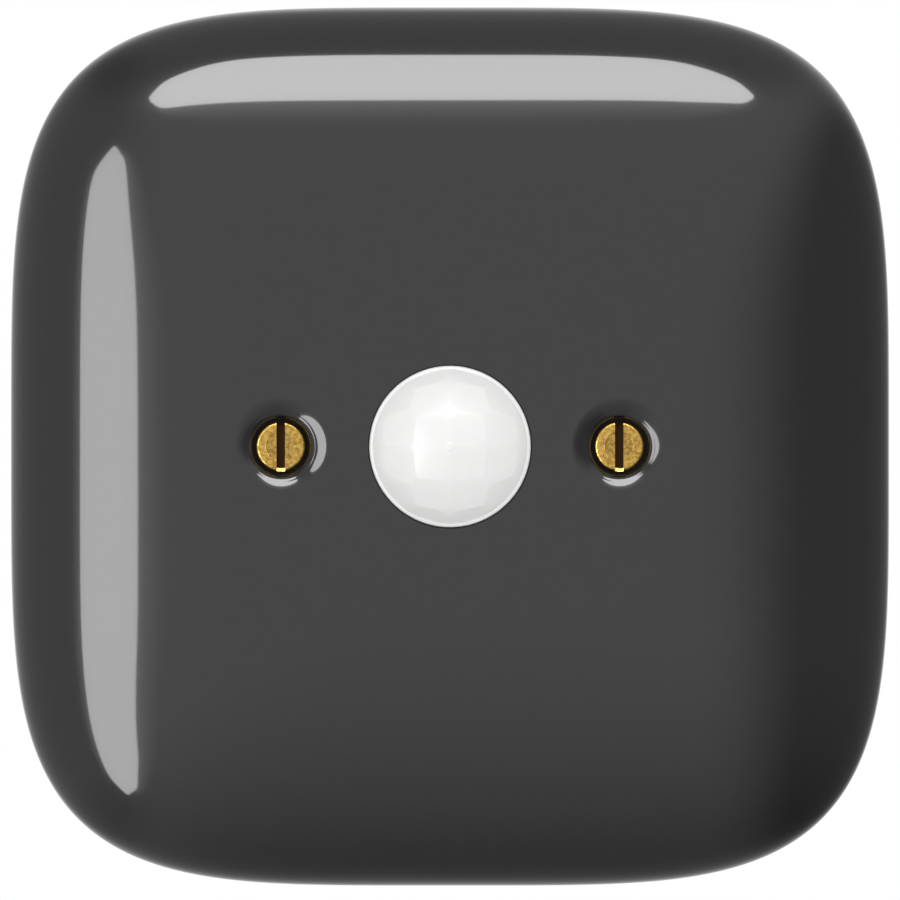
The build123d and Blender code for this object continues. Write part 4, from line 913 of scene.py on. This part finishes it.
# %% Surroundings
ROOM_DARK, ROOM_EITHER, ROOM_BOTH = 0.04, 0.26, 0.28
ROOM_SLANT = -0.6
RIGHT_FALL = (0.20, 0.66, 1.0, 0.0)
FAR_LEFT = (-0.60, -0.30, 0.5, 1.0)
LOWER_RISE = (-1.0, -0.10, 0.0, 1.0)
FAR_TOP = (0.55, 0.85, 1.0, 0.45)
BACKWARDS = (0.90, 0.99, 0.0, 1.0)
DIFFUSE_SHARE, DIFFUSE_FILL = 0.5, 0.80
world = bpy.data.worlds.new("studio")
bpy.context.scene.world = world
world.use_nodes = True
sky = world.node_tree
sky.nodes.clear()


def ramp(source, limits, shape="SMOOTHSTEP"):
    """Step of a number from low to high, from one value to another, smooth or straight."""
    step = node(sky, "ShaderNodeMapRange", interpolation_type=shape)
    for label, value in zip(("From Min", "From Max", "To Min", "To Max"), limits):
        step.inputs[label].default_value = value
    sky.links.new(source, step.inputs["Value"])
    return step.outputs["Result"]


def arithmetic(operation, first, second):
    """Sum or product of two sockets, the second of which may be a plain number."""
    made = node(sky, "ShaderNodeMath", operation=operation)
    sky.links.new(first, made.inputs[0])
    if isinstance(second, float):
        made.inputs[1].default_value = second
    else:
        sky.links.new(second, made.inputs[1])
    return made.outputs[0]


ray = node(sky, "ShaderNodeLightPath")


def chosen(ray_kind, otherwise, value):
    """This number or socket for one kind of ray, and otherwise what came before."""
    mix = node(sky, "ShaderNodeMix", data_type="FLOAT")
    if isinstance(value, float):
        mix.inputs["B"].default_value = value
    else:
        sky.links.new(value, mix.inputs["B"])
    sky.links.new(ray.outputs[ray_kind], mix.inputs["Factor"])
    sky.links.new(otherwise, mix.inputs["A"])
    return mix.outputs["Result"]


heading = node(sky, "ShaderNodeTexCoord")
split = node(sky, "ShaderNodeSeparateXYZ")
sky.links.new(heading.outputs["Generated"], split.inputs[0])
across, back, up = (split.outputs[axis] for axis in "XYZ")
over = arithmetic("MULTIPLY", arithmetic("MAXIMUM", up, 0.0), ROOM_SLANT)
beside = arithmetic("MULTIPLY", arithmetic("MINIMUM", across, 0.0), ROOM_SLANT)
leftwards = ramp(arithmetic("ADD", over, across), RIGHT_FALL)
leftwards = arithmetic("MULTIPLY", leftwards, ramp(across, FAR_LEFT))
upwards = ramp(arithmetic("ADD", beside, up), LOWER_RISE, "LINEAR")
upwards = arithmetic("MULTIPLY", upwards, ramp(up, FAR_TOP))
both = arithmetic("MULTIPLY", arithmetic("MULTIPLY", leftwards, upwards), ROOM_BOTH)
either = arithmetic("MULTIPLY", arithmetic("ADD", leftwards, upwards), ROOM_EITHER)
room = arithmetic("ADD", arithmetic("ADD", both, either), ROOM_DARK)
room = arithmetic("MAXIMUM", room, ramp(back, BACKWARDS))
filled = arithmetic("ADD", arithmetic("MULTIPLY", room, DIFFUSE_SHARE), DIFFUSE_FILL)
room = chosen("Is Diffuse Ray", room, filled)
room = chosen("Is Camera Ray", room, 1.0)
background = node(sky, "ShaderNodeBackground", Color=(1, 1, 1, 1))
output = node(sky, "ShaderNodeOutputWorld")
sky.links.new(room, background.inputs["Strength"])
sky.links.new(background.outputs[0], output.inputs["Surface"])
bpy.context.scene.view_settings.view_transform = "Standard"

# %% [markdown]
# The floor is a pale disc below the switch that fades into the white of the background. Seen
# straight on it lies under the picture, and in other views it takes the soft shadow.

# %% Floor
FLOOR_RADIUS = 0.3
FLOOR_HEIGHT = -0.07
FLOOR_RINGS, FLOOR_SPOKES = 9, 97
FLOOR_COLOUR, FLOOR_ROUGHNESS = (0.82, 0.82, 0.82, 1), 0.8
FADE_FROM, FADE_TO = 0.1, 0.27
spoke = np.linspace(0, 2 * np.pi, FLOOR_SPOKES)
ring = np.linspace(0, FLOOR_RADIUS, FLOOR_RINGS)[:, None]
level = np.full((FLOOR_RINGS, FLOOR_SPOKES), FLOOR_HEIGHT)
floor_points = np.stack([ring * np.cos(spoke), ring * np.sin(spoke), level], axis=-1)
number = np.arange(level.size).reshape(level.shape)
floor_faces = np.stack([number[:-1, :-1], number[1:, :-1], number[1:, 1:], number[:-1, 1:]], axis=-1)
floor_mesh = bpy.data.meshes.new("floor")
floor_mesh.from_pydata(floor_points.reshape(-1, 3).tolist(), [], floor_faces.reshape(-1, 4).tolist())
floor = bpy.data.objects.new("floor", floor_mesh)
bpy.context.collection.objects.link(floor)
floor.visible_glossy = False
pale = bpy.data.materials.new("pale_floor")
pale.use_nodes = True
tree = pale.node_tree
matt = tree.nodes["Principled BSDF"]
matt.inputs["Base Color"].default_value = FLOOR_COLOUR
matt.inputs["Roughness"].default_value = FLOOR_ROUGHNESS
where = node(tree, "ShaderNodeTexCoord")
distance = node(tree, "ShaderNodeVectorMath", operation="LENGTH")
far = node(tree, "ShaderNodeMapRange")
far.inputs["From Min"].default_value = FADE_FROM
far.inputs["From Max"].default_value = FADE_TO
clear = node(tree, "ShaderNodeBsdfTransparent")
fading = node(tree, "ShaderNodeMixShader")
tree.links.new(where.outputs["Object"], distance.inputs[0])
tree.links.new(distance.outputs["Value"], far.inputs["Value"])
tree.links.new(far.outputs["Result"], fading.inputs["Fac"])
tree.links.new(matt.outputs[0], fading.inputs[1])
tree.links.new(clear.outputs[0], fading.inputs[2])
tree.links.new(fading.outputs[0], tree.nodes["Material Output"].inputs["Surface"])
floor_mesh.materials.append(pale)

# %% [markdown]
# The photograph looks straight at the plate through a long lens. The camera stands three metres
# off, and its frame is 90 mm wide where the plate is widest.

# %% Camera
CAMERA_DISTANCE = 3.0
CAMERA_HEIGHT = -0.00035
FRAME_WIDTH = 0.090154
SENSOR_WIDTH = 36.0
view = bpy.data.cameras.new("straight_on")
view.sensor_width = SENSOR_WIDTH
view.lens = SENSOR_WIDTH * (CAMERA_DISTANCE - PLATE_RIM * MM) / FRAME_WIDTH
camera = bpy.data.objects.new("camera", view)
bpy.context.collection.objects.link(camera)
camera.location = (0, -CAMERA_DISTANCE, CAMERA_HEIGHT)
camera.rotation_euler = (np.pi / 2, 0, 0)
bpy.context.scene.camera = camera
print("lens", round(view.lens, 2), "mm")
